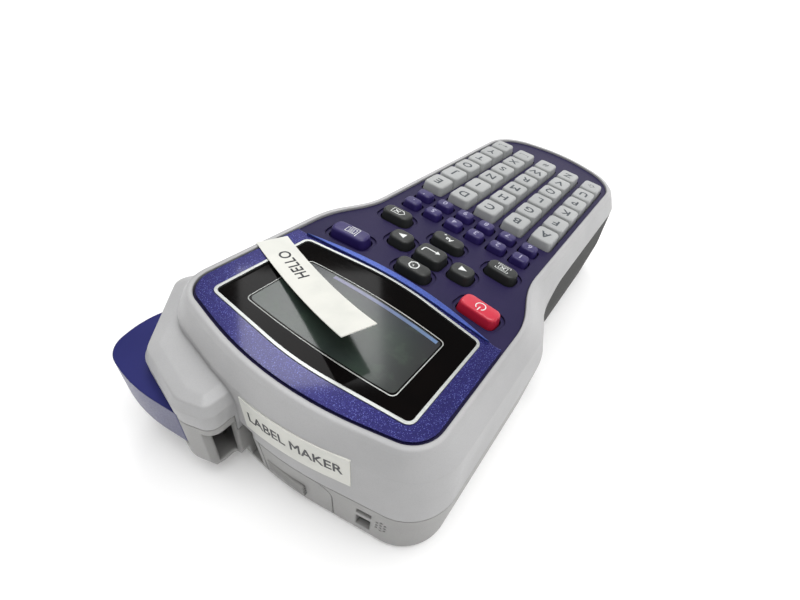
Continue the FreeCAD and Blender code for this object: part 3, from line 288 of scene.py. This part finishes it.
def smoked_window():
    """Gloss black window with faint dust and hairline marks."""
    f = Finish("window_gloss", specular_ior_level=0.05)
    dust = f.noise(0.45, 5.0, 0.7)
    haze = f.noise(14.0, 3.0)
    marks = f.node("ShaderNodeTexNoise", Vector=f.stretched((120.0, 2600.0, 120.0), (0.0, 0.0, 0.6)),
                   Scale=1.0, Detail=2.0)
    tone = f.mix(dust.step(0.68, 0.82) * 0.25, (0.0028, 0.0024, 0.0024), (0.04, 0.038, 0.035))
    tone = f.mix(haze.step(0.4, 0.75) * 0.4, tone, (0.0065, 0.0045, 0.004))
    rough = dust.step(0.5, 0.8) * 0.1 + marks.step(0.6, 0.75) * 0.05 + 0.07
    return f.done(Base_Color=tone, Roughness=rough, Normal=f.bump(marks, 0.04, 0.01, f.rounded(0.2)))


def lcd_face():
    """Dark green liquid crystal face: a fine dot grid under a cloudy polariser."""
    f = Finish("lcd_face", specular_ior_level=0.3, coat_weight=0.25, coat_roughness=0.1)
    x, y = f.axis("X"), f.axis("Y")
    cloud = f.noise(16.0, 3.0)
    blot = f.noise(5.0, 4.0)
    grid = x.repeat(0.42).step(0.82, 0.95) + y.repeat(0.42).step(0.82, 0.95)
    tone = f.mix(cloud.step(0.36, 0.64), (0.014, 0.046, 0.030), (0.026, 0.075, 0.040))
    tone = f.mix(y.step(60.0, 72.0), (0.016, 0.036, 0.042), tone)
    tone = f.mix((x + 30.0).step(-2.0, 20.0) * 0.35, (0.030, 0.026, 0.030), tone)
    tone = f.mix(blot.step(0.5, 0.72) * 0.35, tone, (0.052, 0.085, 0.055))
    tone = f.mix(grid * 0.35, tone, (0.012, 0.022, 0.020))
    return f.done(Base_Color=tone, Roughness=blot * 0.12 + 0.16, Normal=f.bump(blot, 0.05, 0.02))


def printed_tape(name):
    """Coated label tape: off-white film with faint fibre and dust."""
    f = Finish(name, coat_weight=0.15, coat_roughness=0.35)
    fibre = f.node("ShaderNodeTexNoise", Vector=f.stretched((900.0, 3800.0, 900.0), (0.0, 0.0, 0.3)),
                   Scale=1.0, Detail=4.0)
    cloud = f.noise(9.0, 3.0)
    speck = f.noise(0.7, 2.0)
    tone = f.mix(cloud.step(0.35, 0.7), (0.70, 0.70, 0.65), (0.64, 0.645, 0.60))
    tone = f.mix(fibre.step(0.55, 0.8) * 0.15, tone, (0.6, 0.6, 0.57))
    tone = f.mix(speck.step(0.73, 0.78) * 0.4, tone, (0.35, 0.34, 0.32))
    return f.done(Base_Color=tone, Roughness=fibre * 0.15 + 0.42, Normal=f.bump(fibre, 0.12, 0.02))


def circuit_board():
    """Green solder mask with copper tracks showing through, and pads."""
    f = Finish("solder_mask", coat_weight=0.5, coat_roughness=0.15)
    x, y = f.axis("X"), f.axis("Y")
    block = f.node("ShaderNodeTexVoronoi", output="Color", Vector=f.place(), Scale=90.0, settings={
        "distance": "CHEBYCHEV"})
    way = f.node("ShaderNodeSeparateXYZ", output="X", Vector=block) > 0.5
    track = x.repeat(1.3).band(0.3, 0.7, 0.05) * way + y.repeat(1.3).band(0.3, 0.7, 0.05) * (1 - way)
    via = 1 - f.cells(3.4).step(0.1, 0.13)
    cloud = f.noise(8.0, 3.0)
    tone = f.mix(cloud.step(0.3, 0.7), (0.012, 0.085, 0.04), (0.02, 0.11, 0.05))
    tone = f.mix(track * 0.6, tone, (0.04, 0.2, 0.08))
    tone = f.mix(via, tone, (0.6, 0.55, 0.42))
    return f.done(Base_Color=tone, Roughness=cloud * 0.15 + 0.28, Metallic=via * 0.8,
                  Normal=f.bump(track + via, 0.3, 0.04))


def cell_wrap():
    """Battery sleeve: copper end, black barrel, thin light band between them."""
    f = Finish("cell_wrap", coat_weight=0.8, coat_roughness=0.1)
    y = f.axis("Y")
    x = f.axis("X")
    scuff = f.noise(1.2, 4.0)
    other = (x / 21.8 + 0.75).repeat(1.0) > 0.5
    along = (y + 55.0) * (other * 2.0 - 1.0)
    sleeve = along.step(9.9, 10.1)
    line = along.band(9.2, 10.2, 0.08)
    tone = f.mix(sleeve, (0.02, 0.02, 0.022), (0.62, 0.27, 0.09))
    tone = f.mix(line, tone, (0.75, 0.74, 0.7))
    tone = f.mix(scuff.step(0.55, 0.8) * 0.25, tone, (0.2, 0.18, 0.16))
    cap = (y + 55.0).absolute() > 21.3
    tone = f.mix(cap, tone, (0.62, 0.62, 0.61))
    return f.done(Base_Color=tone, Metallic=sleeve * 0.6 * (1 - cap) + cap, Roughness=scuff * 0.2 + 0.22,
                  Normal=f.bump(scuff, 0.08, 0.02, f.rounded(0.3)))


def smoked_clear():
    """Translucent smoked cassette plastic with flow lines."""
    f = Finish("cassette_smoke", coat_weight=0.3, coat_roughness=0.2)
    flow = f.node("ShaderNodeTexNoise", Vector=f.stretched((60.0, 700.0, 60.0), (0.0, 0.0, 0.5)), Scale=1.0,
                  Detail=3.0)
    fine = f.noise(0.4, 3.0)
    tone = f.mix(flow.step(0.3, 0.7), (0.055, 0.056, 0.062), (0.085, 0.085, 0.09))
    tone = f.mix(f.axis("X").step(6.9, 7.2), tone, (0.7, 0.69, 0.62))
    return f.done(Base_Color=tone, Roughness=fine * 0.1 + 0.25,
                  Normal=f.bump(fine, 0.15, 0.02, f.rounded(0.4)))


PANEL_TOP = height_of("keypad_panel")
finishes = {
    "case_grey": moulded("case_plastic", (0.43, 0.43, 0.435), (0.39, 0.39, 0.395), roughness=0.44,
        grain=0.3, relief=0.3, edge=1.1, corner_shade=0.4, coat=0.06),
    "case_grey_lower": moulded("lower_case_plastic", (0.335, 0.332, 0.326), (0.3, 0.297, 0.293),
        roughness=0.48, grain=0.3, relief=0.3, edge=0.9, corner_shade=0.5, coat=0.08),
    "grip_dark": rubber("grip_rubber", (0.017, 0.016, 0.0155), (0.024, 0.023, 0.022)),
    "panel_violet": moulded("panel_plastic", (0.011, 0.007, 0.046), (0.016, 0.01, 0.054), roughness=0.5,
        grain=0.35, relief=0.5, edge=0.25, corner_shade=0.5, coat=0.0, shine=0.2),
    "bezel_blue": flake_lacquer("bezel_lacquer", (0.007, 0.005, 0.085), (0.016, 0.014, 0.16),
        glint=(0.22, 0.26, 0.75), size=0.13, roughness=0.3, ridge_z=PANEL_TOP + 1.1,
        ridge_highlight=(0.07, 0.13, 0.5)),
    "trim_silver": brushed("trim_metal", (0.58, 0.6, 0.58), roughness=0.34, along="X", dark=0.85),
    "window_black": smoked_window(),
    "lcd_green": lcd_face(),
    "board_green": circuit_board(),
    "mat_grey": rubber("keymat_silicone", (0.16, 0.165, 0.17), (0.13, 0.135, 0.14)),
    "black_plastic": moulded("black_plastic", (0.012, 0.012, 0.013), (0.018, 0.018, 0.02), roughness=0.45,
        grain=0.3, relief=0.3, edge=0.3, corner_shade=0.3),
    "frame_grey": moulded("frame_plastic", (0.12, 0.125, 0.13), (0.1, 0.105, 0.11), roughness=0.5,
        grain=0.4, relief=0.4, edge=0.4, corner_shade=0.5),
    "motor_steel": brushed("motor_can", (0.55, 0.55, 0.54), roughness=0.3, along="Z"),
    "steel": brushed("ground_steel", (0.6, 0.6, 0.61), roughness=0.24, along="Z"),
    "gear_white": moulded("acetal", (0.72, 0.7, 0.63), (0.66, 0.64, 0.57), roughness=0.35, grain=0.3,
        relief=0.15, edge=0.2, corner_shade=0.4, coat=0.1),
    "roller_rubber": rubber("roller_rubber", (0.02, 0.02, 0.02), (0.03, 0.03, 0.03)),
    "aluminium": brushed("heat_sink_metal", (0.62, 0.63, 0.64), roughness=0.38, along="Y", dark=0.75),
    "cassette_smoke": smoked_clear(),
    "tray_black": moulded("tray_plastic", (0.016, 0.016, 0.018), (0.024, 0.024, 0.026), roughness=0.5,
        grain=0.35, relief=0.4, edge=0.3, corner_shade=0.4),
    "cell_wrap": cell_wrap(),
    "lever_blue": moulded("lever_gloss", (0.008, 0.01, 0.105), (0.011, 0.013, 0.12), roughness=0.36,
        grain=0.5, relief=0.1, edge=0.6, corner_shade=0.3, coat=0.2, shine=0.3),
    "label_white": printed_tape("label_film"),
    "key_grey": moulded("letter_key_plastic", (0.4, 0.41, 0.41), (0.36, 0.37, 0.37), roughness=0.44,
        grain=0.25, relief=0.3, edge=0.3, corner_shade=0.6, coat=0.05),
    "key_violet": moulded("number_key_plastic", (0.02, 0.01, 0.108), (0.016, 0.008, 0.09), roughness=0.44,
        grain=0.25, relief=0.3, edge=0.3, corner_shade=0.6, coat=0.1),
    "key_black": moulded("function_key_plastic", (0.012, 0.014, 0.0135), (0.018, 0.02, 0.019),
        roughness=0.48, grain=0.25, relief=0.4, edge=0.3, corner_shade=0.5, coat=0.05),
    "key_red": moulded("power_key_plastic", (0.58, 0.016, 0.045), (0.52, 0.013, 0.04), roughness=0.36,
        grain=0.25, relief=0.25, edge=0.3, corner_shade=0.6, coat=0.25),
}
white_ink = ink("white_ink", (0.72, 0.74, 0.73))
pale_ink = ink("pale_ink", (0.34, 0.33, 0.46))
dark_ink = ink("dark_ink", (0.035, 0.045, 0.055), 0.4, 0.2)
black_ink = ink("black_ink", (0.012, 0.013, 0.018), 0.35, 0.1)

slot_of = {}
for node in frame["record"]["subparts"]:
    slot_of[node["node"]] = node.get("material_slot") or node.get("material")
for name, piece in NODES.items():
    for place in piece.material_slots:
        slot = place.material.name.split(".")[0]
        place.material = finishes.get(slot_of.get(name), finishes.get(slot, finishes["case_grey"]))


# ------------------------------------------------------------- shape helpers
def show(name, bm, finish, body, smooth=True, stands_for=None):
    """A finished piece: its shape in metres in its mesh, its object at the origin, on its body."""
    bmesh.ops.transform(bm, matrix=Matrix.Scale(MM, 4), verts=bm.verts)
    mesh = bpy.data.meshes.new(name)
    bm.to_mesh(mesh)
    bm.free()
    mesh.materials.append(finish)
    if smooth:
        mesh.shade_smooth()
        mesh.set_sharp_from_angle(angle=math.radians(38))
    piece = bpy.data.objects.new(name, mesh)
    bpy.context.scene.collection.objects.link(piece)
    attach(piece, body)
    if stands_for:
        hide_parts(stands_for)
    return piece


def take(bm, curve, matrix):
    """Adds a text or curve to a bmesh as a mesh, placed by matrix."""
    holder = bpy.data.objects.new("holder", curve)
    mesh = bpy.data.meshes.new_from_object(holder)
    bpy.data.objects.remove(holder)
    mesh.transform(matrix)
    bm.from_mesh(mesh)
    bpy.data.meshes.remove(mesh)


def letters(bm, text, size, matrix, bold=0.05, spacing=1.0):
    """Flat lettering, centred, a film of ink thick."""
    curve = bpy.data.curves.new("lettering", "FONT")
    curve.body = text
    curve.size = size
    curve.align_x = "CENTER"
    curve.align_y = "CENTER"
    curve.extrude = bold / 4
    curve.bevel_depth = bold
    curve.bevel_resolution = 0
    curve.space_character = spacing
    curve.resolution_u = 4
    take(bm, curve, matrix @ Matrix.Diagonal((1.0, 1.0, INK_RISE / (2.5 * bold), 1.0)))


def pen(bm, points, width, matrix, closed=False):
    """A drawn line: a round stroke pressed nearly flat."""
    curve = bpy.data.curves.new("stroke", "CURVE")
    curve.dimensions = "3D"
    curve.bevel_depth = width / 2
    curve.bevel_resolution = 2
    curve.use_fill_caps = True
    line = curve.splines.new("POLY")
    line.points.add(len(points) - 1)
    for point, (x, y) in zip(line.points, points):
        point.co = (x, y, 0.0, 1.0)
    line.use_cyclic_u = closed
    take(bm, curve, matrix @ Matrix.Diagonal((1.0, 1.0, 2 * INK_RISE / width, 1.0)))


def patch(bm, points, matrix):
    """A filled flat shape, a film of ink thick."""
    corners = [bm.verts.new(matrix @ Vector((x, y, -INK_RISE / 2))) for x, y in points]
    face = bm.faces.new(corners)
    made = bmesh.ops.extrude_face_region(bm, geom=[face])
    lifted = [v for v in made["geom"] if isinstance(v, bmesh.types.BMVert)]
    normal = (matrix.to_3x3() @ Vector((0.0, 0.0, 1.0))).normalized()
    bmesh.ops.translate(bm, verts=lifted, vec=normal * INK_RISE)
    bmesh.ops.recalc_face_normals(bm, faces=list({f for v in corners + lifted for f in v.link_faces}))


def arc(x, y, radius, start, end, count=16):
    """Points on an arc, angles in degrees."""
    turns = [math.radians(start + (end - start) * i / count) for i in range(count + 1)]
    return [(x + radius * math.cos(a), y + radius * math.sin(a)) for a in turns]


def at(x, y, z, turn=0.0):
    """Placement on an upward face."""
    return Matrix.Translation((x, y, z)) @ Matrix.Rotation(math.radians(turn), 4, "Z")


# ------------------------------------------------------------------- the keys
SKIRT_TOP = PANEL_TOP - 1.6
KEY_ROUND = 0.75


def cap(bm, x, y, width, length, top, radius, turn=0.0, lean=0.55):
    """A moulded key cap: leaning sides and a rounded crown."""
    key = bmesh.new()
    bmesh.ops.create_cube(key, size=1.0)
    bmesh.ops.scale(key, vec=(width, length, top - SKIRT_TOP), verts=key.verts)
    crown = [v for v in key.verts if v.co.z > 0]
    bmesh.ops.scale(key, vec=(1 - 2 * lean / width, 1 - 2 * lean / length, 1.0), verts=crown)
    upright = [e for e in key.edges if abs(e.verts[0].co.z - e.verts[1].co.z) > 0.1]
    bmesh.ops.bevel(key, geom=upright, offset=radius, affect="EDGES", segments=5, profile=0.5, material=-1)
    roof = max(key.faces, key=lambda f: f.calc_center_median().z)
    bmesh.ops.bevel(key, geom=list(roof.edges), offset=KEY_ROUND, affect="EDGES", segments=4, profile=0.5,
                    material=-1)
    bmesh.ops.transform(key, matrix=at(x, y, (top + SKIRT_TOP) / 2, turn), verts=key.verts)
    shape = bpy.data.meshes.new("key")
    key.to_mesh(shape)
    key.free()
    bm.from_mesh(shape)
    bpy.data.meshes.remove(shape)


LETTER_NODES = ["letter_keys_%d" % (i + 1) for i in range(5)]
ROWS = ["ABCDE", "FGHIJ", "KLMNO", "PQRST", "UVWXY"]
LETTER_WIDTH, LETTER_LENGTH, LETTER_ROUND = 9.4, 10.9, 1.6
low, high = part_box("letter_keys_1")
LETTER_PITCH = ((high.y - low.y) / MM - LETTER_LENGTH - 0.4) / 5
FIRST_ROW_Y = high.y / MM - LETTER_LENGTH / 2 - 0.2
LETTER_TOP = height_of("letter_keys_1")
for column, node in enumerate(LETTER_NODES):
    x = middle_of(node)[0]
    caps, legend = bmesh.new(), bmesh.new()
    for row in range(6):
        y = FIRST_ROW_Y - LETTER_PITCH * row
        cap(caps, x, y, LETTER_WIDTH, LETTER_LENGTH, LETTER_TOP, LETTER_ROUND)
        place = at(x, y + 0.3, LETTER_TOP)
        if row < 5:
            letters(legend, ROWS[row][column], 5.6, place, 0.13)
        elif column == 0:
            pen(legend, [(-1.6, -0.4), (0.0, 1.5), (1.6, -0.4), (0.7, -0.4), (0.7, -1.5), (-0.7, -1.5),
                         (-0.7, -0.4)], 0.45, place, True)
        elif column == 1:
            letters(legend, "Z", 5.6, place, 0.13)
        elif column == 2:
            letters(legend, "#", 4.6, place, 0.06)
        elif column == 3:
            pen(legend, [(-2.2, 0.5), (-2.2, -0.7), (2.2, -0.7), (2.2, 0.5)], 0.45, place)
        else:
            pen(legend, [(1.7, 1.2), (1.7, -0.4), (-1.7, -0.4)], 0.45, place)
            patch(legend, [(-2.6, -0.4), (-1.3, 0.5), (-1.3, -1.3)], place)
    show("letter_caps_%d" % (column + 1), caps, finishes["key_grey"], node, stands_for=node)
    show("letter_legends_%d" % (column + 1), legend, dark_ink, node, smooth=False)

NUMBER_WIDTH, NUMBER_LENGTH = 6.9, 5.7
NUMBER_TOP = height_of("number_key_1")
for i, sign in enumerate(["1", "2", "3", "4", "5", ".", "6", "7", "8", "9", "0", "'"]):
    node = "number_key_%d" % (i + 1)
    x, y = middle_of(node)
    caps, legend = bmesh.new(), bmesh.new()
    cap(caps, x, y, NUMBER_WIDTH, NUMBER_LENGTH, NUMBER_TOP, 1.5)
    letters(legend, sign, 3.3, at(x, y + (0.5 if sign in ".'" else 0.0), NUMBER_TOP), 0.05)
    show("number_cap_%d" % (i + 1), caps, finishes["key_violet"], node, stands_for=node)
    show("number_legend_%d" % (i + 1), legend, pale_ink, node, smooth=False)


# Signs on the function keys.
def power_sign(bm, place):
    pen(bm, arc(0.0, 0.0, 1.5, 125, 415, 20), 0.36, place)
    pen(bm, [(0.0, 0.3), (0.0, 2.1)], 0.36, place)


def feed_sign(bm, place):
    pen(bm, [(-1.7, -1.2), (1.7, -1.2), (1.7, 1.2), (-1.7, 1.2)], 0.3, place, True)
    for y in (-0.5, 0.1, 0.7):
        pen(bm, [(-1.1, y), (0.9, y)], 0.24, place)
    pen(bm, [(-2.4, 1.9), (-2.4, -1.9), (1.0, -1.9)], 0.3, place)


def clock_sign(bm, place):
    pen(bm, arc(0.0, 0.0, 1.55, 0, 360, 22)[:-1], 0.42, place, True)
    for turn in range(0, 360, 60):
        a = math.radians(turn + 30)
        tooth = [(r * math.cos(a), r * math.sin(a)) for r in (1.5, 1.85)]
        pen(bm, tooth, 0.36, place)
    pen(bm, [(0.0, 0.8), (0.0, 0.0), (0.7, 0.0)], 0.26, place)


def left_sign(bm, place):
    patch(bm, [(-1.5, 0.0), (1.1, -1.2), (1.1, 1.2)], place)


def right_sign(bm, place):
    patch(bm, [(1.5, 0.0), (-1.1, 1.2), (-1.1, -1.2)], place)


def enter_sign(bm, place):
    pen(bm, [(2.9, 1.6), (2.9, -0.1), (2.5, -0.7), (-1.6, -0.7)], 0.5, place)
    patch(bm, [(-2.9, -0.7), (-1.4, 0.2), (-1.4, -1.6)], place)


def symbol_sign(bm, place):
    letters(bm, "Aa", 2.6, place @ Matrix.Translation((-0.3, 0.4, 0.0)), 0.05)
    pen(bm, [(1.6, -1.2), (2.5, -1.2)], 0.3, place)
    pen(bm, [(2.05, -1.6), (2.05, -0.8)], 0.3, place)


def clear_sign(bm, place):
    for x, y in ((1, 1), (-1, -1)):
        bracket = [(-2.3 * x, 0.9 * y), (-2.3 * x, 1.6 * y), (2.3 * x, 1.6 * y), (2.3 * x, 0.9 * y)]
        pen(bm, bracket, 0.3, place)
    pen(bm, [(-1.5, -1.0), (-1.5, 1.0), (1.5, 1.0), (1.5, -1.0)], 0.26, place, True)
    pen(bm, [(-0.8, -0.65), (0.8, 0.65)], 0.28, place)
    pen(bm, [(-0.8, 0.65), (0.8, -0.65)], 0.28, place)


def delete_sign(bm, place):
    pen(bm, [(-2.6, 0.0), (-1.5, -1.4), (2.2, -1.4), (2.2, 1.4), (-1.5, 1.4)], 0.34, place, True)
    pen(bm, [(-0.6, -0.75), (1.3, 0.75)], 0.34, place)
    pen(bm, [(-0.6, 0.75), (1.3, -0.75)], 0.34, place)


FUNCTION_TOP = height_of("power_key")
# Width, length, turn and corner radius of each cap, its material slot and its sign.
FUNCTION_KEYS = {
    "power_key": (13.4, 6.6, -5.0, 2.0, "key_red", power_sign),
    "print_key": (13.4, 6.6, 6.0, 2.0, "key_violet", feed_sign),
    "setting_key": (12.4, 6.0, 0.0, 2.2, "key_black", clock_sign),
    "left_key": (8.6, 7.0, 0.0, 2.3, "key_black", left_sign),
    "enter_key": (10.6, 8.2, 0.0, 2.0, "key_black", enter_sign),
    "right_key": (8.6, 7.0, 0.0, 2.3, "key_black", right_sign),
    "symbol_key": (12.4, 6.0, 0.0, 2.2, "key_black", symbol_sign),
    "clear_key": (11.4, 6.6, -3.0, 2.3, "key_black", clear_sign),
    "delete_key": (11.4, 6.6, 3.0, 2.3, "key_black", delete_sign),
}
for node, (width, length, turn, radius, slot, draw) in FUNCTION_KEYS.items():
    x, y = middle_of(node)
    caps, legend = bmesh.new(), bmesh.new()
    cap(caps, x, y, width, length, FUNCTION_TOP, radius, turn, 0.5)
    draw(legend, at(x, y, FUNCTION_TOP, turn))
    show(node + "_cap", caps, finishes[slot], node, stands_for=node)
    show(node + "_sign", legend, white_ink, node, smooth=False)


# ---------------------------------------------------------------- the display
WINDOW_TOP = height_of("display_window")
VIEW_HALF, VIEW_FAR, VIEW_NEAR = 23.7, 60.6, 83.1
FAR_BOW, NEAR_BOW = 1.4, 1.0


def view_loop(margin):
    """Outline of the viewing area; its two long sides bow outward."""
    half, far, near = VIEW_HALF - margin, VIEW_FAR + margin, VIEW_NEAR - margin
    corner = 1.5
    loop = []
    for i in range(25):
        x = (half - corner) * (1 - i / 12)
        loop.append((x, near + NEAR_BOW * (1 - (x / half) ** 2)))
    loop += arc(-half + corner, near - corner + 0.12, corner, 95, 180, 5)
    loop += arc(-half + corner, far + corner - 0.12, corner, 180, 265, 5)
    for i in range(25):
        x = (half - corner) * (i / 12 - 1)
        loop.append((x, far - FAR_BOW * (1 - (x / half) ** 2)))
    loop += arc(half - corner, far + corner - 0.12, corner, 275, 360, 5)
    loop += arc(half - corner, near - corner + 0.12, corner, 0, 85, 5)
    return loop


frame_line, face, glow = bmesh.new(), bmesh.new(), bmesh.new()
on_window = at(0.0, 0.0, WINDOW_TOP + INK_RISE / 2)
pen(frame_line, view_loop(0.0), 0.34, on_window, True)
patch(face, view_loop(0.55), on_window)
glow_edge = [(x, VIEW_FAR + 1.0 - FAR_BOW * (1 - (x / VIEW_HALF) ** 2)) for x in range(-22, 15)]
patch(glow, glow_edge + [(x, y + 1.15) for x, y in reversed(glow_edge)],
      at(0.0, 0.0, WINDOW_TOP + INK_RISE * 1.6))
show("view_frame_line", frame_line, finishes["trim_silver"], "case")
show("view_face", face, finishes["lcd_green"], "case", smooth=False)


def edge_light():
    """Pale blue light caught along the far edge of the glass."""
    f = Finish("edge_light", coat_weight=0.6, coat_roughness=0.1)
    x = f.axis("X")
    cloud = f.noise(3.0, 2.0)
    tone = f.mix(x.step(-24.0, 12.0), (0.12, 0.2, 0.36), (0.055, 0.055, 0.16))
    tone = f.mix(cloud.step(0.4, 0.7) * 0.3, tone, (0.05, 0.07, 0.12))
    return f.done(Base_Color=tone, Roughness=cloud * 0.2 + 0.2)


show("view_edge_light", glow, edge_light(), "case", smooth=False)

# ----------------------------------------------------------------- the labels
STRIP_CURL_R, STRIP_THICK, STRIP_TURN = 150.0, 0.25, 160.0
STRIP_START = Vector((37.3, 62.2, PANEL_TOP + 1.1))
LABEL_FILM = 0.02


def on_strip(bm):
    """Wraps flat drawing, x along the strip from its resting end, onto its curled top."""
    turn = Matrix.Rotation(math.radians(STRIP_TURN), 4, "Z")
    for v in bm.verts:
        angle = v.co.x / STRIP_CURL_R
        radius = STRIP_CURL_R - STRIP_THICK - v.co.z - LABEL_FILM
        curled = Vector((radius * math.sin(angle), v.co.y, STRIP_CURL_R - radius * math.cos(angle)))
        v.co = turn @ curled + STRIP_START


hello = bmesh.new()
letters(hello, "HELLO", 4.6, at(14.0, 0.4, 0.0, 180.0), 0.075, 1.08)
on_strip(hello)
show("strip_lettering", hello, black_ink, "case", smooth=False)

TITLE_MIDDLE, TITLE_TILT = (-8.9, 33.4), 4.2
title = bmesh.new()
facing_out = Matrix(((-1.0, 0.0, 0.0, 0.0), (0.0, 0.0, 1.0, 0.0), (0.0, 1.0, 0.0, 0.0), (0.0, 0.0, 0.0, 1.0)))
tilt = Matrix.Rotation(math.radians(TITLE_TILT), 4, "Y")
title_place = Matrix.Translation((TITLE_MIDDLE[0], 120.0, TITLE_MIDDLE[1])) @ tilt @ facing_out
narrow = Matrix.Diagonal((0.84, 1.0, 1.0, 1.0))
letters(title, "LABEL MAKER", 5.3, title_place @ narrow, 0.09, 1.0)
label = NODES["title_label"].data
tree = BVHTree.FromPolygons([v.co / MM for v in label.vertices], [p.vertices[:] for p in label.polygons])
for v in title.verts:
    hit = tree.ray_cast(Vector((v.co.x, 130.0, v.co.z)), Vector((0.0, -1.0, 0.0)))[0]
    if hit:
        v.co.y += hit.y + LABEL_FILM + INK_RISE / 2 - 120.0
show("title_lettering", title, black_ink, "case", smooth=False)

# --------------------------------------------------------- floor, light, camera
FLOOR_REACH, BACKDROP_HEIGHT = 6000.0, 5000.0
floor_mesh = bmesh.new()
bmesh.ops.create_grid(floor_mesh, x_segments=1, y_segments=1, size=FLOOR_REACH)
far_edge = [e for e in floor_mesh.edges if all(v.co.y < 0 for v in e.verts)]
raised = bmesh.ops.extrude_edge_only(floor_mesh, edges=far_edge)["geom"]
backdrop_top = [v for v in raised if isinstance(v, bmesh.types.BMVert)]
bmesh.ops.translate(floor_mesh, vec=(0.0, 0.0, BACKDROP_HEIGHT), verts=backdrop_top)
floor_data = bpy.data.meshes.new("floor")
bmesh.ops.transform(floor_mesh, matrix=Matrix.Scale(MM, 4), verts=floor_mesh.verts)
floor_mesh.to_mesh(floor_data)
floor_mesh.free()
floor = bpy.data.objects.new("floor", floor_data)
floor_finish = Finish("floor_paint", roughness=0.8, emission_strength=1.0)
mottle = floor_finish.noise(60.0, 2.0)
reach = floor_finish.node("ShaderNodeVectorMath", output="Value", settings={"operation": "LENGTH"},
                          Vector=floor_finish.place())
# Painted light: the floor glows by its own emission, dimmer near the object and brighter far off.
floor_data.materials.append(floor_finish.done(
    Base_Color=floor_finish.mix(mottle, (0.84, 0.84, 0.84), (0.86, 0.86, 0.86)),
    Emission_Color=floor_finish.mix(reach.step(0.12, 0.6), (0.16, 0.16, 0.16), (0.75, 0.75, 0.75))))
bpy.context.scene.collection.objects.link(floor)


def lamp(name, place, aim, size, power, colour=(1.0, 1.0, 1.0)):
    """A soft square lamp; place and aim in metres."""
    light = bpy.data.lights.new(name, "AREA")
    light.shape = "RECTANGLE"
    light.size, light.size_y = size
    light.energy = power
    light.color = colour
    holder = bpy.data.objects.new(name, light)
    holder.location = place
    holder.rotation_mode = "QUATERNION"
    holder.rotation_quaternion = (Vector(aim) - Vector(place)).to_track_quat("-Z", "Y")
    bpy.context.scene.collection.objects.link(holder)


lamp("overhead", (-0.1, 0.1, 1.0), (0.0, 0.0, 0.0), (0.9, 0.7), 9.0)
lamp("left_fill", (0.9, 0.3, 0.5), (0.0, 0.05, 0.02), (0.7, 0.6), 0.9, (0.97, 0.98, 1.0))
lamp("right_fill", (-1.0, -0.1, 0.6), (0.0, 0.0, 0.02), (0.7, 0.6), 1.3)
lamp("rim_light", (0.5, -0.42, 0.8), (0.0, 0.07, 0.05), (0.35, 0.3), 2.0)

world = bpy.data.worlds.new("studio")
bpy.context.scene.world = world
world.use_nodes = True
world.node_tree.nodes["Background"].inputs["Color"].default_value = (1.0, 0.99, 0.97, 1.0)
world.node_tree.nodes["Background"].inputs["Strength"].default_value = 0.25

camera = bpy.data.cameras.new("camera")
camera.lens = 18.9
camera.sensor_width = 36.0
camera.shift_x = -0.05703
camera.shift_y = 0.03734
camera.clip_start = 0.005
viewer = bpy.data.objects.new("camera", camera)
viewer.location = (-0.04911, 0.13300, 0.12805)
viewer.rotation_euler = (0.7699972, -0.2092611, -2.5816364)
bpy.context.scene.collection.objects.link(viewer)
bpy.context.scene.camera = viewer
bpy.context.scene.view_settings.view_transform = "Standard"
